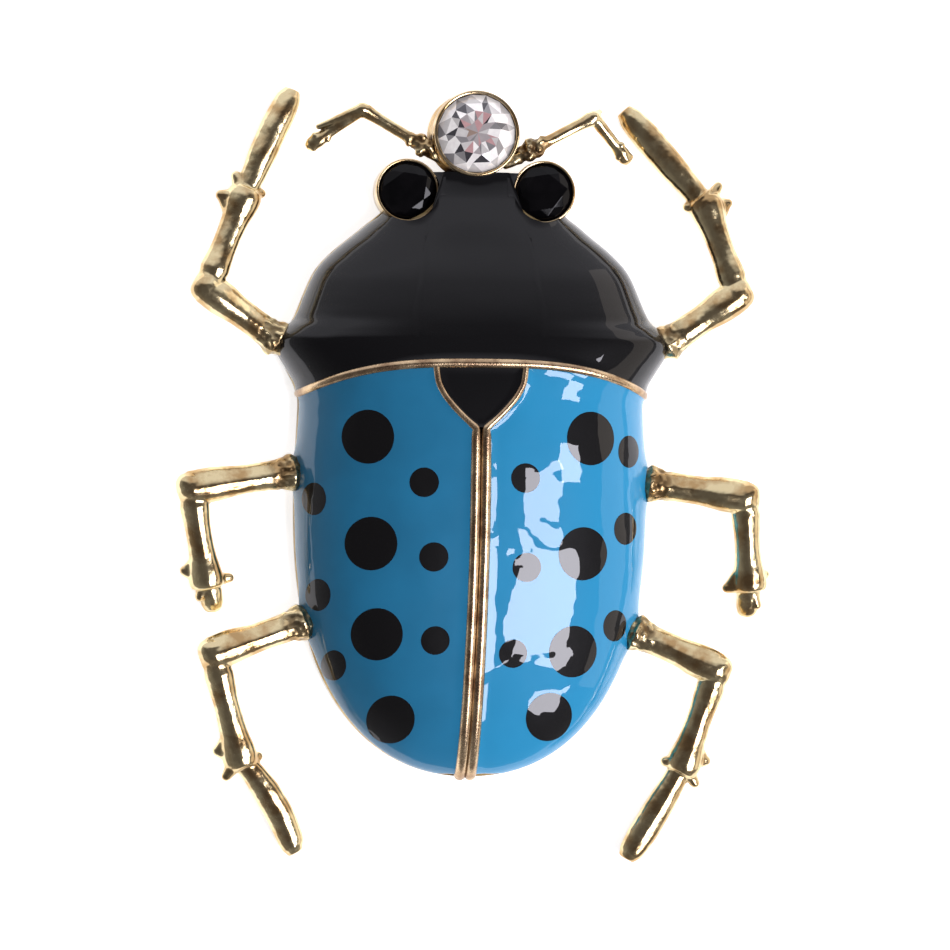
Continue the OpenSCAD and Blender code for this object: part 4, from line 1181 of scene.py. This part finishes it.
# Clear lead glass: a sharp gloss over the painted reflections of the foil's facets
foiled_glass = plain_finish("foiled_lead_glass", "#FFFFFF", "#EDEAEC", 0.5, 0.16, 0.24,
                            Metallic=0.25, Coat_Weight=1.0, Coat_IOR=1.65, Coat_Roughness=0.01)
# Polished black glass: flat black facets with thin bright edges
jet_glass = plain_finish("black_jet_glass", "#050506", "#0B0A0C", 1.5, 0.02, 0.05, Specular_IOR_Level=0.2)
# Plated steel: a plain grey gloss, a little worn
pin_steel = plain_finish("plated_pin_steel", "#CFCBC2", "#A9A59B", 0.8, 0.22, 0.38, Metallic=1.0)

# %% Put the facets' painted reflections and a painted glow under the clear stone's gloss
# The facets' tones feed the emission as well: a painted glow, though the stone is no lamp
PAINTED_FOIL_GLOW = 0.22
glass_tree = foiled_glass.node_tree
glass_shader = glass_tree.nodes["Principled BSDF"]
facet_reflection = add_node(glass_tree, "ShaderNodeAttribute", attribute_name="tone", attribute_type="GEOMETRY")
silver = glass_shader.inputs["Base Color"].links[0].from_socket
reflections_on_silver = add_node(
    glass_tree, "ShaderNodeMix", {0: 1.0}, {6: facet_reflection.outputs["Color"], 7: silver},
    data_type="RGBA", blend_type="MULTIPLY")
glass_tree.links.new(reflections_on_silver.outputs[2], glass_shader.inputs["Base Color"])
glass_tree.links.new(facet_reflection.outputs["Color"], glass_shader.inputs["Emission Color"])
glass_shader.inputs["Emission Strength"].default_value = PAINTED_FOIL_GLOW
print("tones on the clear stone:", len(REFLECTION_TONES))

# %% [markdown]
# ## Putting it together
# Each piece gets its finish, the body that it rides on and the node that it stands in for.
# The brooch has one body, so all pieces ride on the root. Spots and lines are made only now, because
# their trees take the finish as an input. The pin is hidden from the front, so it keeps its solid.

# %% Finish the enamel and lay the spots
def finish_piece(piece, material, node):
    piece.data.materials.clear()
    piece.data.materials.append(material)
    for face in piece.data.polygons:
        face.material_index = 0
    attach(piece, "root")
    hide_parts(node)
    print(piece.name, len(piece.data.polygons), "faces")


for side, name in SIDES:
    finish_piece(wings[side], blues[side], f"wing_case_{name}")
for piece in (head, *corners):
    finish_piece(piece, black_enamel, "head_enamel")
finish_piece(shield, black_enamel, "scutellum_enamel")
for side, name in SIDES:
    spots = lay_spots(side, f"spots_{name}_enamel", spot_enamel)
    finish_piece(spots, spot_enamel, f"spots_{name}")

# %% Sweep the line behind the neck and the two seam bars
band_x = across(np.linspace(-0.985, 0.985, 110), BAND_Y - BAND_DROP)
band_half = BAND_W / 2 * (1.5 - 0.25 * np.abs(band_x) / BAND_HALF_W)
lines = [sweep_bar("line_behind_neck", band_x, band_at(band_x), band_half, line_gold)]
border_y = np.linspace(float(band_at(SHIELD_W / 2)), SHIELD_TIP_Y - 1, 60)
tail_y = SHIELD_TIP_Y - 1 + eased(90)[1:] * (WING_TAIL_Y - SHIELD_TIP_Y + 1)
seam_y = np.concatenate([border_y, tail_y])
for side, name in SIDES:
    bar_x = side * seam_at(seam_y) + seam_lean(seam_y)
    swell = 1.1 + 0.12 * np.clip((4 - seam_y) / 4, 0, 1) + 0.12 * np.clip(-(seam_y + 8) / 16, 0, 1)
    lines.append(sweep_bar(f"seam_bar_{name}", bar_x, seam_y, swell * seam_half(seam_y), line_gold))
print("lines:", [len(piece.data.polygons) for piece in lines], "faces")

# %% Finish the metal and the stones
for piece in lines:
    finish_piece(piece, line_gold, "casting")
for piece in (body, *posts):
    finish_piece(piece, shell_gold, "casting")
for piece in (*legs.values(), *feelers.values()):
    finish_piece(piece, cast_gold, "casting")
for piece in cups:
    finish_piece(piece, cup_gold, "casting")
finish_piece(crystal, foiled_glass, "crystal")
for piece, (side, name) in zip(eyes, SIDES):
    finish_piece(piece, jet_glass, f"eye_stone_{name}")
pin = frame["nodes"]["pin_back"]
pin.data.materials.clear()
pin.data.materials.append(pin_steel)
print("pin keeps its solid:", pin.name)

# %% [markdown]
# ## Floor, light and camera
# The brooch is seen from almost straight above, rolled 7 degrees to the left, on lit white acrylic, which
# swallows the shadows. A glowing floor gives that without a second lamp from below. A window at the
# lower right is the main light. One large area light would mirror as a plain patch, so each pane is a
# lamp of its own, and they are what the right wing case mirrors. A low soft box stands at the right. The
# room is lit at the head's side and dark above the camera, which keeps the black enamel deep and gives
# the gold its contrast.

# %% The floor, a hair under the rim so that the two faces don't fight
FLOOR_HALF, FLOOR_Z = 1500, -0.01
FLOOR_GLOW = 0.75
floor_corners = [(FLOOR_HALF * x, FLOOR_HALF * y, FLOOR_Z) for x, y in ((-1, -1), (1, -1), (1, 1), (-1, 1))]
floor = as_object("floor", floor_corners, [(0, 1, 2, 3)])
# Lit white card: an even white with hardly a gloss, fibres about a third of a millimetre wide
paper, tree, shader, mm = new_finish("white_card")
fibre = add_node(tree, "ShaderNodeTexNoise", {"Scale": 3.0, "Detail": 2.0}, {"Vector": mm})
whites = add_node(
    tree, "ShaderNodeMix", {6: colour("#FBFBFB"), 7: colour("#FFFFFF")}, {0: fibre.outputs[0]},
    data_type="RGBA")
tree.links.new(whites.outputs[2], shader.inputs["Base Color"])
shader.inputs["Roughness"].default_value = 0.9
shader.inputs["Specular IOR Level"].default_value = 0.0
shader.inputs["Emission Color"].default_value = colour("#FFFFFF")
shader.inputs["Emission Strength"].default_value = FLOOR_GLOW
floor.data.materials.append(paper)

# %% The camera: how far it is rolled and spun, its distance, what it aims at and half its view
ROLL, SPIN, REACH = math.radians(7), math.radians(0.4), 350
AIM_RIGHT, AIM_UP, HALF_VIEW = 0.49, 0.016, 38.76
right = Vector((math.cos(SPIN) * math.cos(ROLL), math.sin(SPIN), math.cos(SPIN) * math.sin(ROLL)))
up = Vector((-math.sin(SPIN) * math.cos(ROLL), math.cos(SPIN), -math.sin(SPIN) * math.sin(ROLL)))
back = right.cross(up)
eye_point = AIM_RIGHT * right + AIM_UP * up + REACH * back
lens = bpy.data.cameras.new("camera")
lens.sensor_fit = "AUTO"
lens.angle = 2 * math.atan(HALF_VIEW / REACH)
lens.clip_start = 0.01
camera = bpy.data.objects.new("camera", lens)
camera.matrix_world = Matrix.Translation(eye_point * MM) @ Matrix((right, up, back)).transposed().to_4x4()
bpy.context.scene.collection.objects.link(camera)
bpy.context.scene.camera = camera
bpy.context.scene.view_settings.view_transform = "Standard"
print("camera sees", round(2 * HALF_VIEW, 1), "mm from", REACH, "mm away")

# %% Window panes and a soft box, each placed by the way that it shines from
LAMP_REACH = 700
COOL, WARM = "#F3F1FB", "#FFF2E6"
# The way it shines from, to the right and to the head; its width and height as shares of its distance;
# its radiance and its tint
LAMPS = {
    "window_pane_upper": (0.575, -0.005, 0.22, 0.12, 13, COOL),
    "window_pane_corner": (0.39, -0.12, 0.24, 0.13, 12, COOL),
    "window_pane_middle": (0.405, -0.36, 0.43, 0.30, 13, COOL),
    "window_pane_lower": (0.44, -0.625, 0.29, 0.13, 12, COOL),
    "box_right": (0.93, 0.05, 0.50, 1.5, 0.9, WARM)}


def light_from(name, east, north, wide, high, radiance, tint):
    up_part = math.sqrt(1 - east**2 - north**2)
    way = Vector((east, north, up_part))
    lamp = bpy.data.lights.new(name, "AREA")
    lamp.shape = "RECTANGLE"
    lamp.size, lamp.size_y = wide * LAMP_REACH * MM, high * LAMP_REACH * MM
    lamp.energy = radiance * math.pi * lamp.size * lamp.size_y
    lamp.color = colour(tint)[:3]
    made = bpy.data.objects.new(name, lamp)
    side = Vector((0, 1, 0)).cross(way).normalized()
    turned = Matrix((side, way.cross(side), way)).transposed().to_4x4()
    made.matrix_world = Matrix.Translation(way * LAMP_REACH * MM) @ turned
    made.visible_camera = False
    bpy.context.scene.collection.objects.link(made)


for name, row in LAMPS.items():
    light_from(name, *row)
print("lamps:", len(LAMPS))

# %% The room: dim above, lighter low down, and bright towards the head and a little at the left
world = bpy.data.worlds.new("studio")
bpy.context.scene.world = world
world.use_nodes = True
sky = world.node_tree
way = add_node(sky, "ShaderNodeTexCoord")
parts = add_node(sky, "ShaderNodeSeparateXYZ", None, {0: way.outputs["Generated"]})
low_down = add_node(sky, "ShaderNodeMapRange", {1: 0.05, 2: 0.75, 3: 1, 4: 0}, {0: parts.outputs[2]})
dim = add_node(
    sky, "ShaderNodeMix", {6: colour("#5A5759"), 7: colour("#8F8E90")}, {0: low_down.outputs[0]},
    data_type="RGBA")
head_glow = add_node(sky, "ShaderNodeMapRange", {1: 0.4, 2: 0.74, 3: 0, 4: 1.5}, {0: parts.outputs[1]})
left_glow = add_node(sky, "ShaderNodeMapRange", {1: -0.8, 2: -1, 3: 0, 4: 0.1}, {0: parts.outputs[0]})
glow = add_node(
    sky, "ShaderNodeMath", None, {0: head_glow.outputs[0], 1: left_glow.outputs[0]},
    operation="MAXIMUM", use_clamp=True)
room = add_node(
    sky, "ShaderNodeMix", {7: colour("#F2F1FA")}, {0: glow.outputs[0], 6: dim.outputs[2]}, data_type="RGBA")
sky.links.new(room.outputs[2], sky.nodes["Background"].inputs["Color"])
sky.nodes["Background"].inputs["Strength"].default_value = 1.0
print("room:", len(sky.nodes), "nodes")

# %% Update the scene
bpy.context.view_layer.update()
